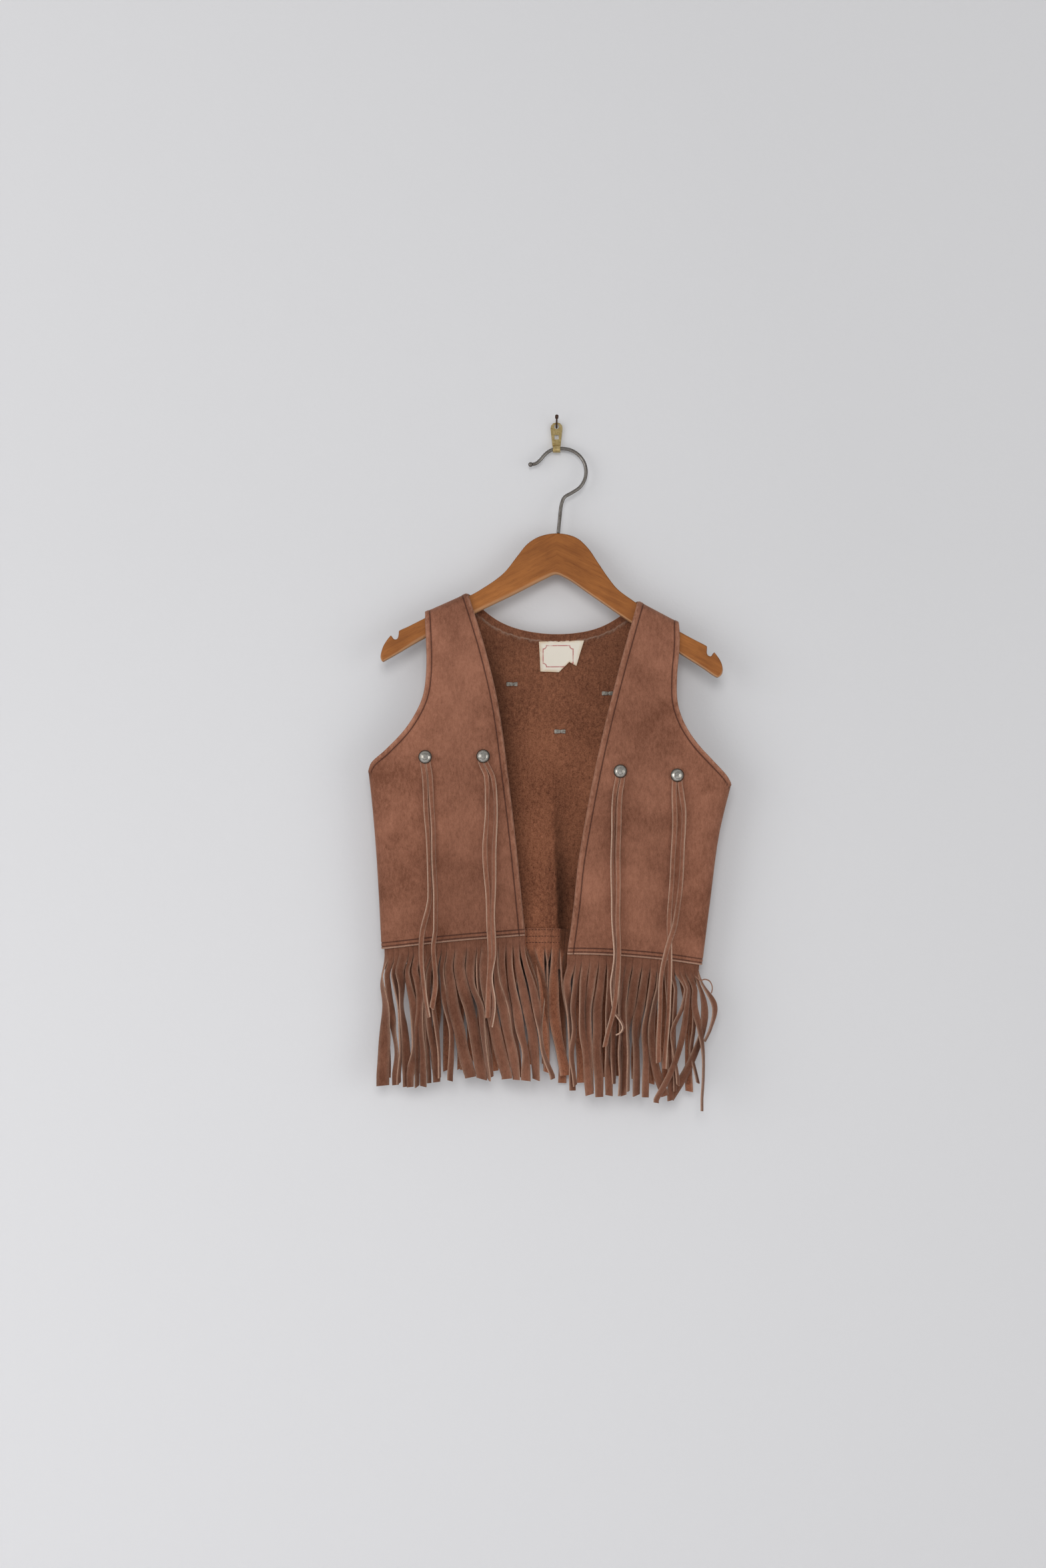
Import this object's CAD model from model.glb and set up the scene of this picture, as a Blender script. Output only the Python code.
# A child's fringed suede vest on a small wooden hanger, which hangs in a brass tab on a nail.
# Shapes are worked out in millimetres and put into the meshes in metres. The front faces -Y, +X is to the
# wearer's left, +Z is up, and the nail leaves the wall at the origin.
import math

import bmesh
import bpy
import numpy as np
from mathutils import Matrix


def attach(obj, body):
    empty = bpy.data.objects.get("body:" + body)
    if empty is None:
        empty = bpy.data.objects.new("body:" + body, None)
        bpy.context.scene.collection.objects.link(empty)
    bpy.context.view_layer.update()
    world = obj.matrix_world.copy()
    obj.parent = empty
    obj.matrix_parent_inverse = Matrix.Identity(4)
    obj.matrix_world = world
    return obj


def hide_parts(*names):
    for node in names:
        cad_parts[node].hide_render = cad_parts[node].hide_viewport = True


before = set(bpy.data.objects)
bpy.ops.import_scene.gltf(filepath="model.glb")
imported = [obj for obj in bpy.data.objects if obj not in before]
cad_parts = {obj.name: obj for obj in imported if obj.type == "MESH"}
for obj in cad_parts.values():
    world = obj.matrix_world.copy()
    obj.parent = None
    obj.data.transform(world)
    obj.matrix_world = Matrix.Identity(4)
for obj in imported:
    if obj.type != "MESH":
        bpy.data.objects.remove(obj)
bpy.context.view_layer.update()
millimetre = 0.001


# Smooth values of a table: cubic pieces whose slopes come from the neighbouring rows, flat beyond the ends.
def smooth(places, values, at):
    places, values = np.asarray(places, float), np.asarray(values, float)
    last = len(places) - 1
    at = np.clip(at, places[0], places[-1])
    i = np.clip(np.searchsorted(places, at, side="right") - 1, 0, last - 1)
    before, after = np.maximum(np.arange(last + 1) - 1, 0), np.minimum(np.arange(last + 1) + 1, last)
    slope = (values[after] - values[before]) / (places[after] - places[before])
    gap = places[i + 1] - places[i]
    f = (at - places[i]) / gap
    bend = gap * f * (1 - f) * (slope[i] * (1 - f) - slope[i + 1] * f)
    return mix(values[i], values[i + 1], ease(f)) + bend


# The straight mix of two values: the first at 0, the second at 1.
def mix(a, b, f):
    return a + (b - a) * f


# From 0 to 1 with a soft start and end.
def ease(f):
    f = np.clip(f, 0, 1)
    return f * f * (3 - 2 * f)


# A bell curve: 1 at the middle, near 0 two widths away.
def bell(distance, middle, wide):
    return np.exp(-(((distance - middle) / wide) ** 2))


# Vectors brought to length 1.
def unit(vectors):
    return vectors / np.maximum(np.linalg.norm(vectors, axis=-1, keepdims=True), 1e-9)


# A number from 0 to 1 that is always the same for the same two numbers.
def chance(i, k):
    value = np.sin(np.asarray(i) * 12.9898 + k * 78.233) * 43758.5453
    return value - np.floor(value)


# Quads between neighbouring points of a grid; "around" joins the last column to the first.
def gridFaces(rows, columns, around=False):
    row = np.arange(rows - 1)[:, None] * columns
    here = np.arange(columns if around else columns - 1)[None, :]
    after, above = (here + 1) % columns, row + columns
    return np.stack([row + here, row + after, above + after, above + here], -1).reshape(-1, 4)


# Faces of a tube of rings: quads between them and one face over each end, all facing the other way if turned.
def tubeFaces(rings, around, turned=False):
    ring = np.arange(around)[None]
    sets = [gridFaces(rings, around, around=True), ring[:, ::-1], ring + (rings - 1) * around]
    return [faces[:, ::-1] for faces in sets] if turned else sets


# The same faces for many equal shapes, whose points follow each other.
def repeatFaces(sets, count, size):
    first = (np.arange(count) * size)[:, None, None]
    return [(faces[None] + first).reshape(-1, faces.shape[1]) for faces in sets]


# Numbers of a grid's outermost points, in order round it.
def rimOf(rows, columns):
    index = np.arange(rows * columns).reshape(rows, columns)
    return np.concatenate([index[0], index[1:, -1], index[-1, -2::-1], index[-2:0:-1, 0]])


# Length of a line of points, from its start to each point.
def lengthsAlong(line):
    return np.concatenate([[0], np.cumsum(np.linalg.norm(np.diff(line, axis=0), axis=1))])


# A sine or cosine made squarer: its size to a power, its sign kept.
def squarer(values, power):
    return np.sign(values) * np.abs(values) ** power


# Angles of the points of a ring.
def ringAngles(count):
    return np.linspace(0, 2 * math.pi, count, endpoint=False)


# A mesh object from points in millimetres and arrays of faces, with one number a point for each attribute.
def makePiece(name, points, faceSets, material, slot, replaced=(), sharp=60, **attributes):
    mesh = bpy.data.meshes.new(name)
    points = np.asarray(points, float).reshape(-1, 3)
    mesh.vertices.add(len(points))
    mesh.vertices.foreach_set("co", (points * millimetre).ravel())
    faceSets = [np.asarray(faces) for faces in faceSets if len(faces)]
    corners = np.concatenate([faces.ravel() for faces in faceSets])
    counts = np.concatenate([np.full(len(faces), faces.shape[1]) for faces in faceSets])
    mesh.loops.add(len(corners))
    mesh.loops.foreach_set("vertex_index", corners.astype(np.int32))
    mesh.polygons.add(len(counts))
    mesh.polygons.foreach_set("loop_start", np.concatenate([[0], np.cumsum(counts)[:-1]]).astype(np.int32))
    mesh.polygons.foreach_set("use_smooth", np.ones(len(counts), bool))
    mesh.update(calc_edges=True)
    mesh.validate()
    mesh.set_sharp_from_angle(angle=math.radians(sharp))
    for key, values in attributes.items():
        attribute = mesh.attributes.new(key, "FLOAT", "POINT")
        attribute.data.foreach_set("value", np.broadcast_to(values, len(points)).astype(np.float32).ravel())
    mesh.materials.append(material)
    piece = bpy.data.objects.new(name, mesh)
    bpy.context.scene.collection.objects.link(piece)
    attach(piece, "root")
    if replaced:
        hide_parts(*replaced)
    return piece


view = {"place": (-0.02976, -1.931, -0.31592), "lens": 50, "sensor": 36}
lamps = {
    "window": {"place": (-2.2, -1.75, -0.1), "size": 2.2, "power": 18, "colour": (1, 0.995, 0.99)},
    "fill": {"place": (2.1, -1.75, -0.5), "size": 2.0, "power": 11.5, "colour": (1, 0.99, 0.97)},
    "front": {"place": (-0.1, -2.9, 0.5), "size": 1.1, "power": 22, "colour": (1, 0.995, 0.99)},
}
lampAim = (0, 0, -0.35)
sky = {"colour": (0.985, 0.99, 1), "left": 0.50, "right": 0.30, "behind": 0.5}


def makeCamera():
    camera = bpy.data.objects.new("camera", bpy.data.cameras.new("camera"))
    bpy.context.scene.collection.objects.link(camera)
    camera.location = view["place"]
    camera.rotation_euler = (math.radians(90), 0, 0)
    camera.data.lens = view["lens"]
    camera.data.sensor_width = view["sensor"]
    camera.data.clip_start = 0.05
    bpy.context.scene.camera = camera


# Round lamps: each is tipped from straight down by its slope to the aim and turned to face it.
def makeLamps():
    for name, lamp in lamps.items():
        light = bpy.data.lights.new(name, "AREA")
        light.shape = "DISK"
        light.size = lamp["size"]
        light.energy = lamp["power"]
        light.color = lamp["colour"]
        holder = bpy.data.objects.new(name, light)
        bpy.context.scene.collection.objects.link(holder)
        way = np.subtract(lampAim, lamp["place"])
        holder.location = lamp["place"]
        turn = math.atan2(-way[0], way[1])
        tilt = math.atan2(math.hypot(way[0], way[1]), -way[2])
        holder.rotation_euler = (tilt, 0, turn)
        holder.visible_glossy = name != "front"  # no glare straight back from metal


# Gives a function that adds a node to a material and sets or links its inputs.
def nodesOf(material):
    tree = material.node_tree

    def add(kind, inputs=None, **settings):
        node = tree.nodes.new(kind)
        for key, value in settings.items():
            setattr(node, key, value)
        for key, value in (inputs or {}).items():
            if isinstance(value, bpy.types.NodeSocket):
                tree.links.new(value, node.inputs[key])
            else:
                node.inputs[key].default_value = value
        return node

    return add


def newMaterial(name):
    material = bpy.data.materials.new(name)
    material.use_nodes = True
    material.node_tree.nodes.clear()
    return material, nodesOf(material)


def colour(value):
    return (*value, 1)


def blendColours(add, factor, a, b, how="MIX"):
    node = add("ShaderNodeMix", data_type="RGBA", blend_type=how, clamp_factor=True)
    for index, value in ((0, factor), (6, a), (7, b)):
        if isinstance(value, bpy.types.NodeSocket):
            node.id_data.links.new(value, node.inputs[index])
        elif index:
            node.inputs[index].default_value = colour(value)
        else:
            node.inputs[index].default_value = value
    return node.outputs[2]


def remap(add, value, low, high, to=(0, 1)):
    node = add("ShaderNodeMapRange", {0: value, 1: low, 2: high, 3: to[0], 4: to[1]}, clamp=True)
    return node.outputs[0]


def calculate(add, how, a, b=0.0, c=0.0):
    return add("ShaderNodeMath", {0: a, 1: b, 2: c}, operation=how).outputs[0]


def noise(add, place, scale, detail, rough):
    inputs = {"Vector": place, "Scale": scale, "Detail": detail, "Roughness": rough}
    return add("ShaderNodeTexNoise", inputs).outputs[0]


def attribute(add, name):
    return add("ShaderNodeAttribute", attribute_name=name, attribute_type="GEOMETRY").outputs["Fac"]


def stretched(add, place, scale):
    return add("ShaderNodeMapping", {"Vector": place, "Scale": scale}).outputs[0]


def objectPlace(add):
    return add("ShaderNodeTexCoord").outputs["Object"]


def split(add, place):
    return add("ShaderNodeSeparateXYZ", {0: place}).outputs


# Sum of patterns, each times its own weight.
def weighted(add, *parts):
    total = 0.0
    for pattern, weight in parts:
        total = calculate(add, "MULTIPLY_ADD", pattern, weight, total)
    return total


def addBump(add, height, strength, distance):
    return add("ShaderNodeBump", {"Height": height, "Strength": strength, "Distance": distance}).outputs[0]


# The end of a material: one surface with these inputs.
def addSurface(add, inputs):
    surface = add("ShaderNodeBsdfPrincipled", inputs)
    add("ShaderNodeOutputMaterial", {"Surface": surface.outputs[0]})


# Daylight in a room: brighter from the window side, dimmer behind the wall.
def makeSky():
    world = bpy.data.worlds.new("daylight")
    world.use_nodes = True
    world.node_tree.nodes.clear()
    add = nodesOf(world)
    x, y, z = split(add, add("ShaderNodeTexCoord").outputs["Generated"])
    across = remap(add, x, -1, 1, (sky["left"], sky["right"]))
    behind = remap(add, y, 0, 0.6, (1, sky["behind"]))
    strength = calculate(add, "MULTIPLY", across, behind)
    background = add("ShaderNodeBackground", {"Color": colour(sky["colour"]), "Strength": strength})
    add("ShaderNodeOutputWorld", {"Surface": background.outputs[0]})
    bpy.context.scene.world = world


suedeLook = {
    "dark": (0.150, 0.057, 0.032),
    "light": (0.345, 0.150, 0.093),
    "worn": (0.40, 0.205, 0.135),
    "innerDark": (0.105, 0.036, 0.019),
    "innerLight": (0.352, 0.142, 0.076),
    "cut": (0.52, 0.375, 0.285),
    "seam": (0.040, 0.012, 0.008),
    "sheenTint": (0.95, 0.66, 0.52),
    "roughness": 0.95,
    "sheen": 0.5,
    "napScale": 1500,
    "fleshScale": 800,
    "hemHeight": -0.47,  # the two shades below start there
    "shade": (0.98, 1.05),
    "shadeTop": -0.16,
    "innerLift": (0.80, -0.24),
    "innerLiftTop": -0.19,
}


# Suede: mottled nap outside, coarser fuzz inside, pale cut edges and dark sewn furrows. The mesh says
# which is where through the attributes inside, worn, cut, seam and tone.
def makeSuede():
    look = suedeLook
    material, add = newMaterial("suede")
    place = objectPlace(add)
    brushed = stretched(add, place, (1, 1, 0.45))
    broad = noise(add, place, 15, 2, 0.5)
    patches = noise(add, place, 60, 4, 0.6)
    grain = noise(add, brushed, 420, 3, 0.65)
    nap = noise(add, brushed, look["napScale"], 2, 0.6)
    flesh = noise(add, place, look["fleshScale"], 3, 0.65)
    clumps = noise(add, stretched(add, place, (1, 1, 0.7)), 360, 3, 0.6)

    mottle = weighted(add, (patches, 0.18), (broad, 0.34), (grain, 0.28), (nap, 0.2))
    outer = blendColours(add, remap(add, mottle, 0.37, 0.63), look["dark"], look["light"])
    fuzz = weighted(add, (broad, 0.26), (clumps, 0.32), (flesh, 0.42))
    inner = blendColours(add, remap(add, fuzz, 0.36, 0.64), look["innerDark"], look["innerLight"])
    inside = attribute(add, "inside")
    shade = blendColours(add, inside, outer, inner)
    rubbed = calculate(add, "MULTIPLY", attribute(add, "worn"), remap(add, grain, 0.35, 0.6))
    shade = blendColours(add, rubbed, shade, look["worn"])
    cutEdge = calculate(add, "MULTIPLY", attribute(add, "cut"), remap(add, nap, 0.3, 0.55, (0.55, 1)))
    shade = blendColours(add, cutEdge, shade, look["cut"])
    shade = blendColours(add, attribute(add, "seam"), shade, look["seam"])

    x, y, z = split(add, place)
    fade = remap(add, z, look["hemHeight"], look["shadeTop"], look["shade"])
    lift = remap(add, z, look["hemHeight"], look["innerLiftTop"], look["innerLift"])
    lift = calculate(add, "MULTIPLY", inside, lift)
    tone = calculate(add, "ADD", attribute(add, "tone"), calculate(add, "ADD", fade, lift))
    grey = add("ShaderNodeCombineColor", {0: tone, 1: tone, 2: tone}).outputs[0]
    shade = blendColours(add, 1.0, shade, grey, "MULTIPLY")

    fine = weighted(add, (grain, 0.5), (nap, 0.5))
    coarse = weighted(add, (clumps, 1.4), (flesh, 1.2))
    relief = add("ShaderNodeMix", {0: inside, 2: fine, 3: coarse}, data_type="FLOAT").outputs[0]
    addSurface(add, {
        "Base Color": shade,
        "Roughness": look["roughness"],
        "Specular IOR Level": 0.18,
        "Sheen Weight": look["sheen"],
        "Sheen Roughness": 0.4,
        "Sheen Tint": colour(look["sheenTint"]),
        "Normal": addBump(add, relief, 0.7, 0.0008),
    })
    return material


wornLooks = {
    "nickel": {
        "dark": (0.40, 0.37, 0.32), "light": (0.78, 0.75, 0.69), "rim": (0.085, 0.075, 0.062),
        "scale": 420, "roughness": 0.2, "metal": 1, "depth": 0.0002,
    },
    "steel": {
        "dark": (0.20, 0.175, 0.155), "light": (0.38, 0.355, 0.325),
        "scale": 120, "roughness": 0.38, "metal": 1, "depth": 0.00005,
    },
    "prongSteel": {
        "dark": (0.16, 0.14, 0.12), "light": (0.60, 0.56, 0.49),
        "scale": 500, "roughness": 0.5, "metal": 0.7, "depth": 0.0001,
    },
    "brass": {
        "dark": (0.50, 0.35, 0.13), "light": (0.95, 0.75, 0.37),
        "scale": 400, "roughness": 0.32, "metal": 1, "depth": 0.0002,
    },
    "rust": {
        "dark": (0.035, 0.018, 0.012), "light": (0.16, 0.085, 0.055),
        "scale": 900, "roughness": 0.6, "metal": 0.5, "depth": 0.0002,
    },
    "thread": {
        "dark": (0.050, 0.017, 0.012), "light": (0.110, 0.038, 0.026),
        "scale": 3000, "roughness": 0.7, "metal": 0, "depth": 0.0002,
    },
}


# A worn surface: two colours mixed by noise, smoother where it is paler, with a dark rim if it has one.
def makeWorn(name, look):
    material, add = newMaterial(name)
    place = objectPlace(add)
    broad = noise(add, place, look["scale"], 4, 0.6)
    fine = noise(add, place, look["scale"] * 6, 3, 0.6)
    mottled = weighted(add, (broad, 0.6), (fine, 0.4))
    shade = blendColours(add, remap(add, mottled, 0.35, 0.65), look["dark"], look["light"])
    if "rim" in look:
        shade = blendColours(add, attribute(add, "rim"), shade, look["rim"])
    addSurface(add, {
        "Base Color": shade,
        "Roughness": remap(add, mottled, 0.3, 0.7, (look["roughness"] * 1.35, look["roughness"] * 0.75)),
        "Metallic": look["metal"],
        "Normal": addBump(add, mottled, 0.4, look["depth"]),
    })
    return material


woodLook = {
    "dark": (0.225, 0.074, 0.019),
    "light": (0.415, 0.153, 0.039),
    "pore": (0.12, 0.036, 0.010),
    "under": (0.62, 0.36, 0.19),
    "tilt": 27,
    "roughness": 0.42,
}


# Varnished wood: long figure and fine pores that run along each arm, which slopes down from the middle.
def makeWood():
    look = woodLook
    material, add = newMaterial("wood")
    place = objectPlace(add)
    x, y, z = split(add, place)
    slope = math.tan(math.radians(look["tilt"]))
    drop = calculate(add, "MULTIPLY_ADD", calculate(add, "ABSOLUTE", x), slope, z)
    along = add("ShaderNodeCombineXYZ", {0: x, 1: y, 2: drop}).outputs[0]
    figure = noise(add, stretched(add, along, (0.09, 1, 1)), 330, 4, 0.6)
    pores = noise(add, stretched(add, along, (0.05, 1, 1)), 1800, 2, 0.6)
    patches = noise(add, place, 22, 3, 0.55)
    mixed = weighted(add, (patches, 0.5), (figure, 0.5))
    shade = blendColours(add, remap(add, mixed, 0.34, 0.66), look["dark"], look["light"])
    shade = blendColours(add, remap(add, pores, 0.56, 0.74, (0, 0.5)), shade, look["pore"])
    shade = blendColours(add, calculate(add, "MULTIPLY", attribute(add, "under"), 0.6), shade, look["under"])
    addSurface(add, {
        "Base Color": shade,
        "Roughness": remap(add, patches, 0.3, 0.7, (look["roughness"] * 1.2, look["roughness"] * 0.85)),
        "Coat Weight": 0.06,
        "Coat Roughness": 0.35,
        "Specular IOR Level": 0.25,
        "Normal": addBump(add, pores, 0.25, 0.0001),
    })
    return material


labelLook = {
    "cloth": (0.80, 0.74, 0.64),
    "stain": (0.62, 0.44, 0.27),
    "ink": (0.42, 0.045, 0.055),
    "centre": (1.1, -203.5),
    "frame": (13.2, 9.3),
    "corner": 3.0,
    "line": 0.45,
}


# Woven label: cream threads, stained towards its rim, with a printed border line whose corners step in.
def makeLabelCloth():
    look = labelLook
    material, add = newMaterial("label")
    place = objectPlace(add)
    threads = noise(add, stretched(add, place, (1, 1, 0.25)), 2600, 1, 0.5)
    blots = noise(add, place, 150, 4, 0.6)
    rim = calculate(add, "MULTIPLY", attribute(add, "rim"), remap(add, blots, 0.35, 0.6, (0.25, 1)))
    shade = blendColours(add, rim, look["cloth"], look["stain"])
    ink = calculate(add, "MULTIPLY", attribute(add, "ink"), remap(add, blots, 0.38, 0.52, (0.35, 1)))
    shade = blendColours(add, ink, shade, look["ink"])
    addSurface(add, {"Base Color": shade, "Roughness": 0.85, "Normal": addBump(add, threads, 0.5, 0.0003)})
    return material


stage = {
    "wallWide": 3.2,
    "wallTop": 1.1,
    "floor": -1.25,
    "floorDeep": 3.5,
    "wall": (0.745, 0.745, 0.76),
    "pale": 1.085,  # at the window's side
    "dull": 0.955,
    "upward": (1.12, 0.995),  # from the floor up
    "shadow": (0.05, 0.035, 0.03),  # on the wall close behind the cloth
    "shadowMiddle": -0.01,
    "shadowHalf": (0.07, 0.125),
    "shadowFoot": (-0.57, -0.48),
    "shadowTop": (-0.40, -0.36),
}


# A wall and a floor, lighter on one side. The wall is seen from in front only and lights nothing.
def makeStage():
    material, add = newMaterial("wall")
    place = objectPlace(add)
    roller = noise(add, place, 260, 3, 0.5)
    x, y, z = split(add, place)
    slope = calculate(add, "MULTIPLY_ADD", z, 0.35, x)
    pale, dull = (np.multiply(stage["wall"], stage[key]) for key in ("pale", "dull"))
    shade = blendColours(add, remap(add, slope, -0.95, 0.25), pale, dull)
    upward = remap(add, z, -1.0, -0.1, stage["upward"])
    shade = add("ShaderNodeVectorMath", {0: shade, 3: upward}, operation="SCALE").outputs[0]
    aside = calculate(add, "ABSOLUTE", calculate(add, "SUBTRACT", x, stage["shadowMiddle"]))
    near = remap(add, aside, *stage["shadowHalf"], (1, 0))
    near = calculate(add, "MULTIPLY", near, remap(add, z, *stage["shadowFoot"]))
    near = calculate(add, "MULTIPLY", near, remap(add, z, *stage["shadowTop"], (1, 0)))
    shade = blendColours(add, near, shade, stage["shadow"])
    bump = addBump(add, roller, 0.25, 0.0006)
    paint = add("ShaderNodeBsdfPrincipled", {"Base Color": shade, "Roughness": 0.8, "Normal": bump})
    clear = add("ShaderNodeBsdfTransparent")
    behind = add("ShaderNodeNewGeometry").outputs["Backfacing"]
    surface = add("ShaderNodeMixShader", {0: behind, 1: paint.outputs[0], 2: clear.outputs[0]})
    add("ShaderNodeOutputMaterial", {"Surface": surface.outputs[0]})
    half, top, low, deep = stage["wallWide"] / 2, stage["wallTop"], stage["floor"], stage["floorDeep"]
    sheets = {
        "wall": [(-half, 0, low), (half, 0, low), (half, 0, top), (-half, 0, top)],
        "floor": [(-half, -deep, low), (half, -deep, low), (half, deep / 2, low), (-half, deep / 2, low)],
    }
    for name, corners in sheets.items():
        mesh = bpy.data.meshes.new(name)
        mesh.from_pydata(corners, [], [(0, 1, 2, 3)])
        mesh.materials.append(material)
        sheet = bpy.data.objects.new(name, mesh)
        bpy.context.scene.collection.objects.link(sheet)
        if name == "wall":
            for ray in ("diffuse", "glossy", "transmission", "shadow"):
                setattr(sheet, f"visible_{ray}", False)


bpy.context.scene.view_settings.view_transform = "Standard"
makeCamera()
makeLamps()
makeSky()
makeStage()
suede = makeSuede()
wood = makeWood()
labelCloth = makeLabelCloth()
finishes = {name: makeWorn(name, look) for name, look in wornLooks.items()}
print("stage, lights and materials made")


cloth = {
    "thick": 1.6,
    "rollRadius": 8.1,
    "squareness": 3,
    "z": [-480, -420, -360, -306, -250, -200, -170, -140],
    "left": [-153, -155.7, -159.5, -165, -174, -192, -215, -240],
    "right": [126.5, 134, 142, 155, 168, 186, 208, 232],
    "front": [-38.5, -42.5, -45.5, -44.5, -41, -36.6, -32.9, -29],
    "seam": [-23, -24, -25, -25, -25, -26, -24.5, -20.8],
    "back": [-10, -9.5, -8.8, -8.5, -10, -12.5, -14, -12.7],
}
# Soft folds: a ridge or trough along x + slant * (z - z0), fading by "tall"
folds = [
    {"side": 1, "x": -20, "z": -440, "slant": 0, "near": 20, "far": 13, "tall": 110, "raise": -7.5},
    {"side": 1, "x": 7, "z": -470, "slant": 0.02, "near": 10, "far": 22, "tall": 120, "raise": 5.5},
    {"side": 1, "x": 52, "z": -455, "slant": 0.03, "near": 20, "far": 24, "tall": 90, "raise": -4},
    {"side": -1, "x": -92, "z": -470, "slant": 0.04, "near": 26, "far": 26, "tall": 70, "raise": 3},
    {"side": -1, "x": -52, "z": -400, "slant": -0.1, "near": 24, "far": 20, "tall": 80, "raise": -2.5},
    {"side": -1, "x": 70, "z": -455, "slant": -0.05, "near": 26, "far": 24, "tall": 80, "raise": -3},
    {"side": -1, "x": 108, "z": -400, "slant": 0.05, "near": 18, "far": 16, "tall": 70, "raise": 2.5},
]
ripples = [
    {"x": 0.052, "z": 0.021, "size": 0.30, "start": 0.4},
    {"x": -0.033, "z": 0.047, "size": 0.28, "start": 2.1},
    {"x": 0.094, "z": -0.061, "size": 0.14, "start": 4.0},
    {"x": 0.021, "z": 0.118, "size": 0.10, "start": 1.2},
]
hanger = {"lean": 7, "crestY": -6, "crestZ": -19.6, "thick": 10.5}
shoulders = {
    "right": {"neck": (-79.5, -149.1), "tip": (-115.8, -165.5)},
    "left": {"neck": (72.1, -156.1), "tip": (106.6, -174.6)},
}
overTop = cloth["rollRadius"] * (math.pi / 2 - 1)  # length of cloth that the turn over the hanger takes up


# One of the worn cloth's measures at a height, smooth between its levels.
def level(key, z):
    return smooth(cloth["z"], cloth[key], z)


# Middle of the hanger's thickness at a height: a plane that leans away from the wall as it goes down.
def hangerY(z):
    return hanger["crestY"] - (hanger["crestZ"] - z) * math.tan(math.radians(hanger["lean"]))


# y of the outer face: a rounded square section between the side seams, moved by the folds and ripples.
# side is -1 in front and 1 behind.
def clothY(side, x, z):
    left, right, seam = level("left", z), level("right", z), level("seam", z)
    across = np.clip(np.abs(2 * x - left - right) / (right - left), 0, 1)
    power = cloth["squareness"]
    swell = (1 - across**power) ** (1 / power)
    face = level("front" if side < 0 else "back", z)
    for fold in folds:
        if fold["side"] == side:
            off = x - fold["x"] - fold["slant"] * (z - fold["z"])
            wide = np.where(off < 0, fold["near"], fold["far"])
            face = face + fold["raise"] * bell(off, 0, wide) * bell(z, fold["z"], fold["tall"])
    for wave in ripples:
        face = face + wave["size"] * np.sin(wave["x"] * x + wave["z"] * z + wave["start"] + side)
    return seam + (face - seam) * swell


# The worn place of a point of the pattern: straight down below the hanger, and round a roll over it above.
def drape(side, x, height):
    neckX = np.where(x < 0, shoulders["right"]["neck"][0], shoulders["left"]["neck"][0])
    neckZ = np.where(x < 0, shoulders["right"]["neck"][1], shoulders["left"]["neck"][1])
    tipX = np.where(x < 0, shoulders["right"]["tip"][0], shoulders["left"]["tip"][0])
    tipZ = np.where(x < 0, shoulders["right"]["tip"][1], shoulders["left"]["tip"][1])
    radius = cloth["rollRadius"]
    start = neckZ + (x - neckX) * (tipZ - neckZ) / (tipX - neckX) - radius
    turn = np.maximum(height - start, 0) / radius
    over = height > start
    z = np.where(over, start + radius * np.sin(turn), height)
    depth = clothY(side, x, start) - hangerY(start)
    y = np.where(over, hangerY(z) + depth * np.cos(turn), clothY(side, x, height))
    return np.stack([x, y, z], -1)


rightFront = {
    "edgeAt": [0, 0.26, 0.46, 0.67, 0.84, 1],
    "edgeX": [-28, -35.7, -42.8, -51.4, -63, -79.5],
    "edgeZ": [-447.3, -370, -310, -247.8, -198, -149.1 + overTop],
    "holeAt": [0, 0.05, 0.14, 0.29, 0.41, 0.53, 0.68, 0.84, 1],
    "holeX": [-165, -162, -150, -133.1, -122.3, -116, -113.7, -114.3, -115.8],
    "holeZ": [-304, -297, -286.5, -269, -252.5, -236, -213, -187, -165.5 + overTop],
    "hemSide": -460.1,
    "underarm": -304,
    "hemBow": 1,
    "sideOf": "left",
}
leftFront = {
    "edgeAt": [0, 0.13, 0.27, 0.54, 0.77, 1],
    "edgeX": [8.9, 14.2, 18.8, 34.7, 51.8, 72.1],
    "edgeZ": [-463.8, -423.7, -380.8, -295, -224.2, -156.1 + overTop],
    "holeAt": [0, 0.05, 0.16, 0.3, 0.42, 0.53, 0.67, 0.84, 1],
    "holeX": [152.3, 148, 136.2, 121.5, 110.5, 104.6, 104.2, 106.5, 106.6],
    "holeZ": [-315.4, -308.5, -296, -280, -263, -245, -222, -195, -174.6 + overTop],
    "hemSide": -474.2,
    "underarm": -315.4,
    "hemBow": 3,
    "sideOf": "right",
}
back = {
    "neckAt": [0, 0.12, 0.3, 0.5, 0.7, 0.88, 1],
    "neckX": [-79.5, -63, -38.4, -3.6, 31.2, 57.3, 72.1],
    "neckZ": [-149.1 + overTop, -164.5, -178.3, -184.2, -180.5, -167.5, -156.1 + overTop],
    "hemAt": [0, 0.3, 0.52, 0.75, 1],
    "hemZ": [-460.1, -455, -453, -463, -474.2],
    "shoulderShare": 0.2,
}
underarmShare = 0.5  # share of a panel's rows below the underarm


# Side seam, then armhole, as one line up the panel.
def sideLine(cut, t):
    below = mix(cut["hemSide"], cut["underarm"], np.clip(t / underarmShare, 0, 1))
    at = (t - underarmShare) / (1 - underarmShare)
    x = np.where(t <= underarmShare, level(cut["sideOf"], below), smooth(cut["holeAt"], cut["holeX"], at))
    z = np.where(t <= underarmShare, below, smooth(cut["holeAt"], cut["holeZ"], at))
    return x, z


# A front's pattern: a straight mix from its front edge to its side line, with a slight bow at the hem.
def frontPattern(cut, share, t):
    edgeX, edgeZ = smooth(cut["edgeAt"], cut["edgeX"], t), smooth(cut["edgeAt"], cut["edgeZ"], t)
    sideX, sideZ = sideLine(cut, t)
    z = mix(edgeZ, sideZ, share) + cut["hemBow"] * (1 - t) * 4 * share * (1 - share)
    return mix(edgeX, sideX, share), z


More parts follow.
